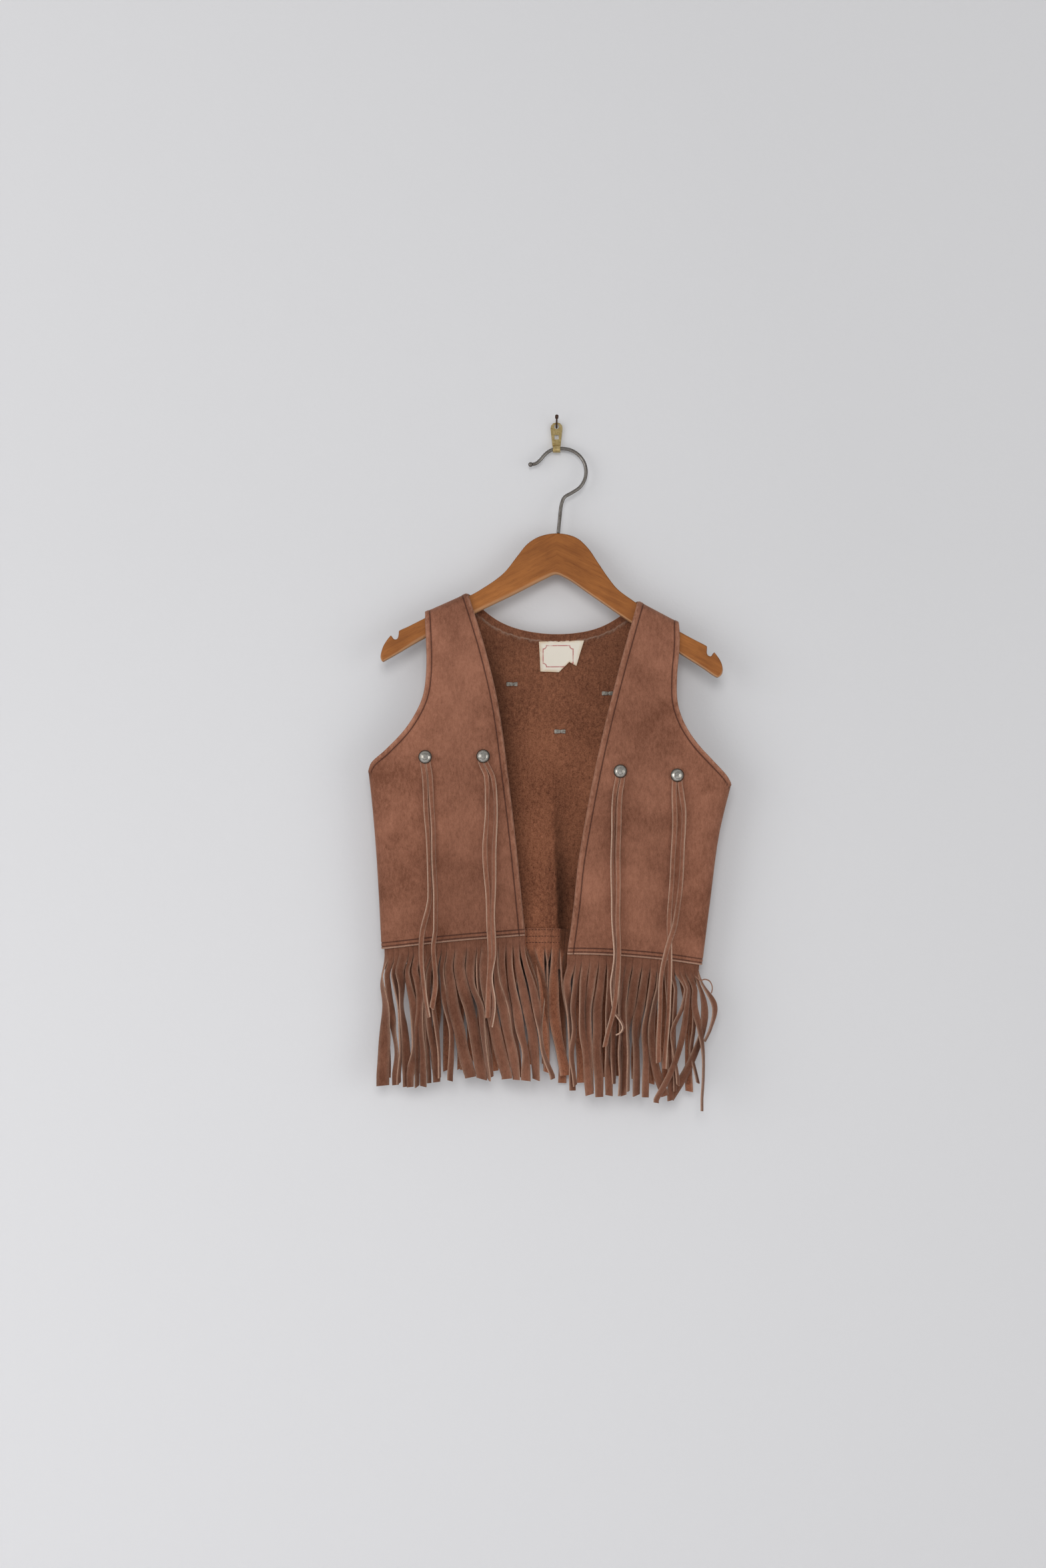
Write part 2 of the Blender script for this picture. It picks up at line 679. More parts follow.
# The back's upper line for a share s of its length: shoulder, neck, shoulder.
def backTop(s):
    share, right, left = back["shoulderShare"], shoulders["right"], shoulders["left"]
    at = (s - share) / (1 - 2 * share)
    x, z = smooth(back["neckAt"], back["neckX"], at), smooth(back["neckAt"], back["neckZ"], at)
    for side, f in ((right, s / share), (left, (1 - s) / share)):
        on = f < 1
        x = np.where(on, mix(side["tip"][0], side["neck"][0], f), x)
        z = np.where(on, mix(side["tip"][1], side["neck"][1], f) + overTop, z)
    return x, z


# The back's hem, its share eased by a cosine so that columns stand closer at both sides.
def backHem(s):
    share = (1 - np.cos(math.pi * s)) / 2
    z = smooth(back["hemAt"], back["hemZ"], share)
    return mix(level("left", z), level("right", z), share), z


# The back's pattern: the mix of its two side lines plus the bend of its hem and of its top line.
def backPattern(s, t):
    share = (1 - np.cos(math.pi * s)) / 2
    right, left = sideLine(rightFront, t), sideLine(leftFront, t)
    hem, top = backHem(s), backTop(s)
    zero, one = np.zeros(1), np.ones(1)
    corners = [backHem(zero), backHem(one), backTop(zero), backTop(one)]
    result = []
    for k in (0, 1):
        hemLine = mix(corners[0][k], corners[1][k], share)
        topLine = mix(corners[2][k], corners[3][k], share)
        result.append(mix(right[k], left[k], share) + mix(hem[k] - hemLine, top[k] - topLine, t))
    return result


# Least distance from each point to a line of many short pieces.
def distanceTo(points, line):
    start, piece = line[:-1], np.diff(line, axis=0)
    away = points[:, None, :] - start[None]
    f = np.clip((away * piece).sum(-1) / np.maximum((piece**2).sum(-1), 1e-9), 0, 1)
    return np.sqrt(((away - f[..., None] * piece) ** 2).sum(-1)).min(1)


# Outward normals of a grid of points, from the cross product of its two directions.
def normalsOf(grid, turned):
    return unit(np.cross(np.gradient(grid, axis=1), np.gradient(grid, axis=0))) * turned


shades = {
    "fold": 1.25,  # the inner face's dark fold beside the left front
    "foldX": -3.8,
    "foldFrom": -290,
    "foldTall": 150,
    "foldSlant": (-350, 112, 4),  # from that height on it moves so far aside within so much
    "foldWide": 12,
    "foldFade": 0.45,
    "beside": 0.42,  # the inner face next to the right front's edge
    "besideWide": 16,
    "besideFrom": -170,
    "sides": 0.17,  # the outer face, paler where it turns to the sides
    "sidesFrom": 88,
    "sidesWide": 36,
    "low": 0.06,  # and low on the left front, darker low on the right one
    "lowFrom": -350,
}


# Shade of the inner face: a fold that starts sharply and fades aside, and a band next to the right front.
def deepFold(points):
    x, z = points[:, 0], points[:, 2]
    slantFrom, slantTall, slantWide = shades["foldSlant"]
    past = x - shades["foldX"] - slantWide * np.clip((slantFrom - z) / slantTall, 0, 1.2)
    across = ease((past + 0.8) / 2.4) * (1 - shades["foldFade"] * ease((past - 4) / shades["foldWide"]))
    fold = shades["fold"] * across * ease((shades["foldFrom"] - z) / shades["foldTall"])
    beside = 1 - (x - np.interp(z, rightFront["edgeZ"], rightFront["edgeX"])) / shades["besideWide"]
    return -fold - shades["beside"] * ease(beside) * ease((shades["besideFrom"] - z) / 60)


# Shade of the outer face: paler past a distance from the middle, a little different low on each side.
def paleSides(points):
    x, z = points[:, 0], points[:, 2]
    sides = shades["sides"] * ease((np.abs(x) - shades["sidesFrom"]) / shades["sidesWide"])
    return sides + shades["low"] * np.sign(x) * ease((shades["lowFrom"] - z) / 70)


sewing = {
    "edgeLine": 5.0,  # stitches of the front edges
    "holeLine": 4.4,  # stitches of the armholes and the neck
    "hemLines": (1.9, 5.2),
    "stripLines": (8.8, 3.2, -2.2),  # seen inside, on the strip of the back's fringe
    "groove": 0.5,
    "grooveWide": 0.6,
    "puff": 0.45,
    "puffPast": 1.8,  # how far past its stitches a turned edge stands up
    "edgeRound": 0.7,
    "turnedPast": 3.2,  # how far past them it is double inside
    "turnedThick": 0.8,
    "hemGroove": 0.4,
    "hemGrooveWide": 0.55,
    "rawBand": 6.8,  # turned band inside the neck, with a ragged edge
    "rawThick": 1.0,
    "ragged": 0.5,
    "rimBulge": 0.3,
}


# A cloth wall from a grid of places: the outer face raised along turned edges and furrowed along
# stitches, the inner face one thickness behind, and a rounded rim between them.
def makePanel(name, grid, turned, turnedLines, hemLine, rawLine, replaced):
    rows, columns = grid.shape[:2]
    normals = normalsOf(grid, turned)
    flat = grid.reshape(-1, 3)
    lift, seam, worn, inward = np.zeros((4, len(flat)))
    for line, place in turnedLines:
        away = distanceTo(flat, line)
        lift += sewing["puff"] * np.clip(1 - (away / (place + sewing["puffPast"])) ** 4, 0, 1)
        lift -= sewing["groove"] * bell(away, place, sewing["grooveWide"])
        lift -= sewing["edgeRound"] * np.clip(1 - away / 0.8, 0, 1) ** 2
        seam = np.maximum(seam, 0.9 * bell(away, place, 0.55))
        worn = np.maximum(worn, 0.6 * bell(away, 0.8, 1.4))
        double = np.clip((place + sewing["turnedPast"] - away) / 0.8, 0, 1)
        inward = np.maximum(inward, sewing["turnedThick"] * double)
    away = distanceTo(flat, hemLine)
    for place in sewing["hemLines"]:
        lift -= sewing["hemGroove"] * bell(away, place, sewing["hemGrooveWide"])
        seam = np.maximum(seam, 0.9 * bell(away, place, 0.5))
    hemEdge = 0.5 * np.clip(1.4 - away, 0, 1) ** 0.7
    fray = np.zeros(len(flat))
    if rawLine is not None:
        away = distanceTo(flat, rawLine)
        torn = np.sin(flat[:, 0] * 0.9) * np.sin(flat[:, 0] * 0.37 + 1)
        ragged = sewing["rawBand"] + sewing["ragged"] * torn
        inward = np.maximum(inward, sewing["rawThick"] * np.clip((ragged - away) / 0.7, 0, 1))
        fray = 0.55 * bell(away, ragged - 0.3, 0.6)
    outer = grid + normals * lift.reshape(rows, columns, 1)
    inner = grid - normals * (cloth["thick"] + inward.reshape(rows, columns, 1))

    rim = rimOf(rows, columns)
    nearRow, nearColumn = np.clip(rim // columns, 1, rows - 2), np.clip(rim % columns, 1, columns - 2)
    outPoints, inPoints = outer.reshape(-1, 3), inner.reshape(-1, 3)
    bulge = sewing["rimBulge"] * unit(flat[rim] - flat[nearRow * columns + nearColumn])
    middle = (outPoints[rim] + inPoints[rim]) / 2 + bulge
    count, ring = rows * columns, len(rim)
    onRim = 2 * count + np.arange(ring)
    after = np.roll(np.arange(ring), -1)
    faces = np.concatenate([
        gridFaces(rows, columns),
        gridFaces(rows, columns)[:, ::-1] + count,
        np.stack([rim[after], rim, onRim, onRim[after]], -1),
        np.stack([onRim[after], onRim, rim + count, rim[after] + count], -1),
    ])
    if turned < 0:
        faces = faces[:, ::-1]
    atHem = (rim < columns).astype(float)
    zero = np.zeros(count)
    innerTone = deepFold(flat) if name == "backPanel" else zero
    return makePiece(
        name,
        np.concatenate([outPoints, inPoints, middle]),
        [faces],
        suede,
        "suede",
        replaced,
        inside=np.concatenate([zero, zero + 1, 0.25 * (1 - atHem)]),
        cut=np.concatenate([hemEdge, np.maximum(fray, hemEdge), np.maximum(0.6 * atHem, 0.12)]),
        seam=np.concatenate([seam, zero, np.zeros(ring)]),
        worn=np.concatenate([worn, zero, np.full(ring, 0.35)]),
        tone=np.concatenate([paleSides(flat), innerTone, np.zeros(ring)]),
    )


# Distances across a width: half a millimetre apart near both edges and even between them.
def acrossWidth(width, edge=8, step=0.5, middle=56):
    fine = np.arange(0, edge, step)
    even = mix(edge, width - edge, np.linspace(0, 1, middle))
    ends = np.broadcast_to(fine, (*width.shape[:-1], len(fine)))
    return np.concatenate([ends, even, width - ends[..., ::-1]], -1)


panelTall, backWide = 310, 300
rowPlaces = acrossWidth(np.full(1, float(panelTall)), middle=128) / panelTall


# A front: its pattern laid out in rows and columns and draped over the hanger's arm.
def makeFront(name, cut, turned, node):
    t = rowPlaces[:, None]
    width = np.abs(sideLine(cut, t)[0] - smooth(cut["edgeAt"], cut["edgeX"], t))
    share = acrossWidth(width) / width
    grid = drape(-1, *np.broadcast_arrays(*frontPattern(cut, share, t)))
    hole = grid[rowPlaces >= underarmShare, -1]
    lines = [(grid[:, 0], sewing["edgeLine"]), (hole, sewing["holeLine"])]
    return makePanel(name, grid, turned, lines, grid[0], None, [node])


# The back: its columns stand even on the cloth, so their shares of the width are undone from the cosine.
def makeBack():
    t = rowPlaces[:, None]
    share = acrossWidth(np.full((1, 1), float(backWide)), middle=128) / backWide
    s = np.arccos(1 - 2 * np.clip(share, 0, 1)) / math.pi
    grid = drape(1, *np.broadcast_arrays(*backPattern(s, t)))
    upper = rowPlaces >= underarmShare
    atNeck = (s[0] >= back["shoulderShare"]) & (s[0] <= 1 - back["shoulderShare"])
    neck = grid[-1, atNeck]
    lines = [(line, sewing["holeLine"]) for line in (grid[upper, 0], grid[upper, -1], neck)]
    return makePanel("backPanel", grid, -1, lines, grid[0], neck, ["back"])


rightPanel = makeFront("rightFrontPanel", rightFront, -1, "right_front")
leftPanel = makeFront("leftFrontPanel", leftFront, 1, "left_front")
backPanel = makeBack()
print("panels made")


# Section of a strap with rounded edges, in half widths and half thicknesses
strapSection = np.array([
    (-1, -0.7), (-0.93, -1), (-0.4, -1), (0.4, -1), (0.93, -1), (1, -0.7),
    (1, 0.7), (0.93, 1), (0.4, 1), (-0.4, 1), (-0.93, 1), (-1, 0.7),
])


# Straps, one for each row of the arrays: the section carried along each line of centres, its width along
# "along" turned square to the line. halfWide and tone may change along a strap; tip is how far its end is
# cut aslant, and cup how far its edges stand above its middle. free says where its edges are cut, edge
# how pale the cuts are, and deep how much darker its inner face is.
def makeStraps(
    name, centres, along, near, halfWide, halfThick, tone, tip, replaced=(), cup=0, free=1, edge=0.8, deep=0
):
    straps, steps = centres.shape[:2]
    way = unit(np.gradient(centres, axis=1))
    along = unit(along - way * (along * way).sum(-1, keepdims=True))
    square = np.cross(way, along)
    near = square * np.sign((square * near).sum(-1, keepdims=True))
    u, v = strapSection[:, 0], strapSection[:, 1]
    f = np.linspace(0, 1, steps)[None, :, None]
    cupped = np.reshape(cup, (-1, 1, 1)) * np.sin(math.pi * f) * (u**2 - 0.4)
    slant = np.reshape(tip, (-1, 1, 1)) * np.clip((f - 0.93) / 0.07, 0, 1) * u
    points = (
        centres[:, :, None]
        + along[:, :, None] * (u * halfWide[..., None])[..., None]
        + near[:, :, None] * (v * halfThick + cupped)[..., None]
        + way[:, :, None] * slant[..., None]
    )
    shape = (straps, steps, len(u))
    turned = (np.cross(along[:, 0], near[:, 0]) * way[:, 0]).sum(-1).mean() < 0
    onEdge = np.where(np.abs(u) > 0.95, 1.0, np.where(np.abs(u) > 0.9, 0.45, 0.0))
    flesh = np.broadcast_to(np.where(v < 0, 1.0, 0.0), shape)
    free, tone, deep = (np.broadcast_to(values, shape[:2])[..., None] for values in (free, tone, deep))
    return makePiece(
        name,
        points,
        repeatFaces(tubeFaces(steps, len(u), turned), straps, steps * len(u)),
        suede,
        "suede",
        replaced,
        sharp=75,
        inside=(0.75 * flesh).ravel(),
        cut=(edge * onEdge * free).ravel(),
        seam=0,
        worn=0,
        tone=(tone - deep * flesh).ravel(),
    )


fringe = {
    "gap": 0.8,
    "thick": 1.5,
    "hemDepth": 2,
    "above": 10,
    "below": 5,
    "belowMore": 3,
    "slit": 0.9,
    "steps": 46,
    "stripSteps": 25,
    "shade": -0.2,
    "shadeMore": 0.16,
    "lightBelow": -505,  # under the hems more light reaches the inner faces
    "edge": 0.46,
    "wander": 0.5,
    "twirl": 0.12,
    "uneven": 0.22,
    "cup": 1.1,
    "tip": 2.4,
}
# Width at the root and at the foot, height of the foot, how far it comes forward, then x and turn at six
# heights. A turn above 0 brings the left edge forward.
rightLevels = (-470, -490, -510, -530, -550, -570)
rightStrands = [
    (5, 7.8, -572, 2.5, (-27.9, -22.2, -18, -15.6, -11.9, -4), (-35, 0, 14, 74, 68, 60)),
    (6, 9, -573, -1, (-34.9, -30.8, -26.7, -22, -19.7, -18.3), (-30, 15, 10, 0, -20, -42)),
    (6.4, 8.8, -573.5, 1.5, (-41.5, -39.3, -35.3, -32.2, -27.6, -27.3), (-42, -38, -24, 28, 48, 4)),
    (7, 7, -571, -2.5, (-48.4, -46.3, -41.6, -38.3, -34.4, -32.8), (0, 36, 68, 62, 56, 50)),
    (5, 9.4, -573, 1, (-53.5, -51.9, -47.1, -43.4, -38.6, -35.5), (-50, -44, 0, -24, -16, -44)),
    (11, 11, -572.5, -1, (-63.2, -62, -57.7, -53.9, -49.3, -43.7), (-10, 20, 14, 0, 6, -20)),
    (4, 5, -571, -2, (-69.5, -68.7, -65.4, -61.5, -59.1, -57.1), (58, 60, 60, 64, 64, 50)),
    (9.5, 9, -573, 1.5, (-76, -74.6, -66.7, -64.9, -62.5, -59.5), (0, -46, -50, -60, -70, -74)),
    (11, 11, -573, -1, (-86.2, -82.9, -77, -72.7, -69.1, -65.7), (0, -8, 32, 24, 22, -18)),
    (7.6, 11, -571.5, 1, (-95.5, -93, -90.5, -85.3, -81.5, -75.5), (8, 0, 0, 0, 6, 26)),
    (5, 6.2, -574.5, 2, (-101.4, -99.7, -97.1, -92.3, -92.1, -93.3), (-20, -44, 46, 48, 38, 38)),
    (4, 5.2, -572, 0, (-106, -106.6, -107.7, -104.9, -103, -102.6), (0, -30, 50, 40, 70, 74)),
    (5, 7.2, -576, -1.5, (-111.2, -112.4, -112, -111.1, -107.1, -105.1), (0, 50, 44, 44, 18, 14)),
    (4.5, 6.8, -579.5, 1, (-116.2, -117, -118.3, -118.6, -117.1, -116.7), (0, -20, -60, -48, -34, -20)),
    (5, 5.4, -577, -2.5, (-120.7, -115.9, -114.3, -114, -113, -111.7), (58, 58, 50, 50, 52, 46)),
    (7.3, 6.6, -580, -3, (-127.2, -121.5, -120, -122.3, -122.7, -122.3), (-38, 20, 14, 42, 44, 60)),
    (4.6, 7.6, -580, 1.5, (-132.3, -129.5, -125.3, -125.2, -125.4, -128), (-50, -24, 22, 70, 68, -30)),
    (9.2, 8.6, -580, -1, (-139.8, -136, -136, -133.4, -131.9, -131.2), (4, 48, 72, 44, 22, 26)),
    (4.8, 6, -577, 1.5, (-145.8, -142, -138.1, -137, -136.5, -138.2), (40, 58, 68, 72, 72, 56)),
    (6, 7.4, -579, -0.5, (-149.6, -147.9, -145.4, -143.1, -140.2, -141.2), (38, 34, 36, -50, -62, -34)),
    (8, 11.8, -579.5, 1.5, (-151.9, -153, -149.8, -150.3, -151.3, -152.3), (-72, -68, -58, -38, -6, 14)),
]
leftLevels = (-490, -510, -530, -550, -570, -590)
leftStrands = [
    (7.2, 8, -583, -2, (8.4, 9.6, 10.8, 12, 13, 13.6), (0, 60, 70, 66, 50, 40)),
    (5.4, 6.4, -578, 1, (16, 13.8, 15, 12.4, 14.6, 17), (26, 38, 48, 44, 58, 50)),
    (7.2, 8, -586, 1.5, (22.4, 21.6, 21.9, 25.3, 26.6, 28.6), (34, 50, 42, 18, 8, 20)),
    (8.2, 8.2, -584, -1.5, (29.8, 27.1, 27.3, 27.8, 28.4, 29), (-34, -48, -50, -40, -40, -30)),
    (7, 8.8, -588, 1.5, (37.8, 35.3, 35, 34.3, 36.2, 36.6), (6, 0, 8, 14, 24, 28)),
    (6, 7.8, -587, -1, (45.6, 44.8, 44.2, 43.6, 44.8, 45.2), (40, 40, 52, 66, 20, 0)),
    (5.6, 6, -577, -2.4, (51, 50.5, 49, 48.6, 49.2, 49.6), (20, 24, 24, 34, 58, 60)),
    (4.6, 6, -586, 1, (55.2, 54.4, 55, 53.8, 54.8, 54), (60, 68, 74, 74, 72, 70)),
    (6.4, 7.2, -587, -1.6, (59.4, 57.4, 58.4, 59.2, 58.6, 57.4), (-28, -46, -30, -34, -38, -40)),
    (8.4, 9, -583, 1.2, (66.8, 63.8, 61.2, 61.8, 61.6, 61.6), (-10, 20, 74, 76, 76, 76)),
    (7.8, 8.8, -587, -1, (75.2, 72, 68.2, 69, 69, 68.8), (24, -14, 44, 46, 44, 42)),
    (6.4, 7, -588.5, 1, (82.8, 79.4, 76.4, 77.4, 77, 76.6), (20, 50, 36, 20, 20, 26)),
    (6, 8, -587.5, 2, (88.8, 84.4, 82.2, 83.6, 87.6, 95), (50, 56, 38, 10, 8, 10)),
    (4.6, 6.6, -592, -1, (95.8, 97.4, 97.6, 98.2, 99, 98.8), (30, 44, 40, 36, 30, 28)),
    (4.4, 5.2, -584, 0.5, (103.4, 102.6, 101.6, 101.6, 102.6, 103), (52, 44, 40, 44, 50, 50)),
    (5, 5, -578, 5, (113.2, 109.6, 100.9, 101.8, 104.6, 106), (50, 42, 40, 60, 60, 50)),
    (5, 6.2, -593, 8.5, (115.4, 113.2, 110.4, 105.2, 97.2, 86), (58, 30, 12, 8, 20, 34)),
    (5.4, 7, -601, 5, (120.6, 120, 124.4, 127.1, 127.3, 126.2), (26, 8, 44, 68, 74, 74)),
    (3.6, 5, -577, 1, (121, 120, 119.2, 117, 121.6, 126), (50, 44, 44, 50, 60, 60)),
    (4, 8.4, -590, 3.5, (124.6, 128.8, 127.6, 120.6, 111, 98.6), (50, 10, 48, 36, 20, 6)),
    (4, 6.6, -541, 2, (127, 137.8, 134.2, 124, 114, 104), (30, 40, 66, 70, 70, 70)),
]
# Strands of the back that show: number, width at root and foot, length, forward, shade, then aside and
# turn at six even steps down
seenStrands = [
    (1, 6.6, 5.6, 104, -2, -0.2, (1.5, 4.2, 7.7, 9.7, 10.2, 10.7), (0, 0, 10, 0, 0, 0)),
    (2, 7, 6, 104, -3, -0.2, (4, 10, 12.6, 13.4, 13.4, 13.4), (0, 0, 0, 10, 0, 0)),
    (3, 7, 6, 103, -1, -0.2, (3, 6.4, 7.6, 7.6, 7.6, 7.6), (0, 10, 20, 20, 0, 0)),
    (7, 7, 6.6, 105, -1, -0.15, (0.6, 1.2, 2, 2, 1.8, 1.6), (0, 0, 0, 0, 0, 0)),
    (8, 7.6, 6, 104, 1, -0.05, (1, 3, 5, 6, 6.5, 6.5), (0, 10, 0, 0, 0, 0)),
    (16, 7.8, 8, 104, -3, -0.15, (6, 11, 11, 10, 9, 8), (0, 0, 0, 0, 0, 0)),
    (17, 7.6, 8, 104, -3, -0.15, (5, 10.5, 12.5, 13, 13, 13), (0, 0, 0, 0, 0, 0)),
    (18, 8.4, 7, 110, 0, 0.1, (0.4, 2, 2.9, 4.2, 5.2, 5.7), (0, 0, 10, 0, 0, 0)),
    (19, 6.6, 5, 106, 5, 0.05, (-0.6, -1.6, -4.6, -5.2, -4, -3), (66, 74, 70, 60, 50, 40)),
    (20, 8.6, 10.8, 114, 1, 0.14, (-1.2, -1.4, -1.4, 0.8, 5, 8.8), (8, -18, -30, -12, 0, 0)),
    (21, 5.6, 6, 123, 4.5, 0.05, (-0.6, 0.6, 4.8, 7.2, 8.2, 8.8), (62, 66, 58, 64, 62, 40)),
    (22, 8.8, 8, 118, -3, -0.15, (-4.5, -6, -6.8, -6.8, -6.4, -6.3), (0, 0, 0, 0, 0, 0)),
    (23, 8, 8.6, 116, 1, 0, (-1.5, -2, -1, 0.4, 1.6, 2), (10, 20, 0, 0, 0, 0)),
    (24, 8, 7, 106, -1, -0.05, (0, 0, 0, 0, 0, 0), (0, 0, 0, 0, 0, 0)),
    (28, 7.4, 6, 103, -1, -0.2, (-0.6, -1.6, -2, -2.4, -2.4, -2.4), (0, 0, 0, 0, 0, 0)),
    (29, 7.4, 6, 103, -1, -0.2, (2, 4, 5.4, 6, 6, 6), (0, 0, 0, 0, 0, 0)),
    (34, 7.2, 6, 104, -1, -0.2, (-1, -2, -2.4, -2.4, -2, -2), (0, 0, 0, 0, 0, 0)),
    (35, 7.2, 6, 103, -2, -0.2, (3.4, 6, 6.4, 6.6, 7, 7), (0, 10, 20, 20, 10, 0)),
    (37, 7, 5.4, 98, -1, -0.2, (-2, -3, -3.4, -4, -5, -6), (20, 30, 40, 50, 50, 50)),
]
backStrands = {
    "count": 38,
    "wide": 6.8,
    "wideMore": 1.8,
    "narrowing": 0.92,
    "long": 103,
    "longMore": 4,
    "fore": 2.0,
    "sway": 2.4,
    "swing": 1.2,
    "twist": 30,
    "shade": -0.05,
    "deep": 0.5,
    "light": slice(18, 22),  # strands seen in front of the wall, light on both faces
    "dark": 22,  # the one in the deepest shade
    "darkMore": 0.45,
    "stripShade": 0.22,
    "stripFold": slice(21, 26),
    "stripDeep": 1.15,
}


# The back's strands: widths and lengths by chance, swaying and twisting less towards the side seams.
def backRows():
    rule = backStrands
    i = np.arange(rule["count"])
    free = np.minimum(1, np.minimum(i, rule["count"] - 1 - i) / 4)
    k = np.arange(1, 7)[None]
    sway = (rule["sway"] * free * (chance(i, 2) - 0.5))[:, None]
    swing = (rule["swing"] * free)[:, None] * np.sin(1.3 * k + 6 * chance(i, 3)[:, None])
    twist = (rule["twist"] * free * (chance(i, 4) - 0.5))[:, None]
    wide = rule["wide"] + rule["wideMore"] * chance(i, 1)
    rows = {
        "wide": wide,
        "footWide": rule["narrowing"] * wide,
        "long": rule["long"] + rule["longMore"] * chance(i, 6),
        "fore": rule["fore"] * np.where(i % 2, 1, -1),
        "shade": np.full(len(i), rule["shade"]),
        "aside": 0.4 * k * sway + swing,
        "turn": twist * np.sin(0.5 * k + 2 * chance(i, 5)[:, None]),
        "deep": np.full(len(i), rule["deep"]),
        "stripDeep": np.zeros(len(i)),
        "stripShade": rule["stripShade"],
    }
    rows["deep"][rule["light"]] = 0
    rows["deep"][rule["dark"]] += rule["darkMore"]
    rows["stripDeep"][rule["stripFold"]] = rule["stripDeep"]
    for number, *values in seenStrands:
        for key, value in zip(("wide", "footWide", "long", "fore", "shade", "aside", "turn"), values):
            rows[key][number] = value
    return rows


# The front strands' table as one array for each column.
def tableRows(strands, levels):
    names = ("wide", "footWide", "foot", "fore", "x", "turn")
    rows = {name: np.array(column, float) for name, column in zip(names, zip(*strands))}
    rows["levels"] = np.array(levels, float)
    rows["shade"] = np.full(len(strands), fringe["shade"])
    rows["deep"] = rows["stripDeep"] = np.zeros(len(strands))
    rows["stripShade"] = fringe["shade"]
    return rows


# A table's values at each strap's own heights: smooth between the levels, and straight on above the first.
def atHeights(levels, table, z):
    down = np.concatenate([[-levels[0] - 25], -levels])
    above = table[:, 0] - 0.6 * (table[:, 1] - table[:, 0])
    table = np.concatenate([above[:, None], table], 1)
    return np.stack([smooth(down, values, -height) for values, height in zip(table, z)])


# Smooth values between even stations, all straps at once: Catmull-Rom through each row of the table.
def alongStations(table, f):
    last = table.shape[1] - 1
    at = np.clip(f, 0, 1) * last
    i = np.minimum(at.astype(int), last - 1)
    g = at - i
    a, b = table[:, np.maximum(i - 1, 0)], table[:, i]
    c, d = table[:, i + 1], table[:, np.minimum(i + 2, last)]
    return 0.5 * (2 * b + (c - a) * g + (2 * a - 5 * b + 4 * c - d) * g**2 + (3 * b - a - 3 * c + d) * g**3)


# Places behind a hem and the cloth's outward side there: s is the share along the hem, drop how far below
# it, depth how far in from the outer face.
def behindHem(hem, side, turned, s, drop, depth):
    def at(share):
        hemX, hemZ = hem(share)
        z = hemZ - drop
        across = (hemX - level("left", hemZ)) / (level("right", hemZ) - level("left", hemZ))
        x = mix(level("left", z), level("right", z), across)
        return np.stack([x, clothY(side, x, z), z + 0 * x], -1)

    run = at(np.minimum(1, s + 1e-3)) - at(np.maximum(0, s - 1e-3))
    out = unit(np.stack([run[..., 1], -run[..., 0], 0 * run[..., 0]], -1)) * turned
    return at(s) - out * depth, out


# Where a front strand hangs: its table's x and turn below the strip, reached soon after the root.
def tableCourse(rows, root, z, bend):
    below = root[:, 2:3] - z
    away = ease(below / 20)
    start = atHeights(rows["levels"], rows["x"], root[:, 2:3])
    x = atHeights(rows["levels"], rows["x"], z) + (root[:, :1] - start) * (1 - away)
    turn = np.radians(atHeights(rows["levels"], rows["turn"], z)) * away - bend * ease(below / 30)
    return x, turn


# Where a back strand hangs: aside from its root and turned by even stations, with a wander of its own.
def freeCourse(rows, root, f, wave, number):
    start = np.zeros((len(root), 1))
    x = root[:, :1] + alongStations(np.concatenate([start, rows["aside"]], 1), f) + 0.6 * wave
    turn = np.radians(alongStations(np.concatenate([start, rows["turn"]], 1), f))
    return x, turn + fringe["twirl"] * chanceWave(f, 1.1, number, 12) * ease(f)[None]


# A wave down each strap that starts at its own place.
def chanceWave(f, waves, number, k):
    return np.sin(2 * math.pi * (waves * f[None] + chance(number, k)[:, None]))


# Vectors turned about the upright by an angle for each.
def turnedBy(vectors, turn):
    c, s = np.cos(turn), np.sin(turn)
    x, y = vectors[..., 0], vectors[..., 1]
    return np.stack([x * c - y * s, x * s + y * c, 0 * c], -1)


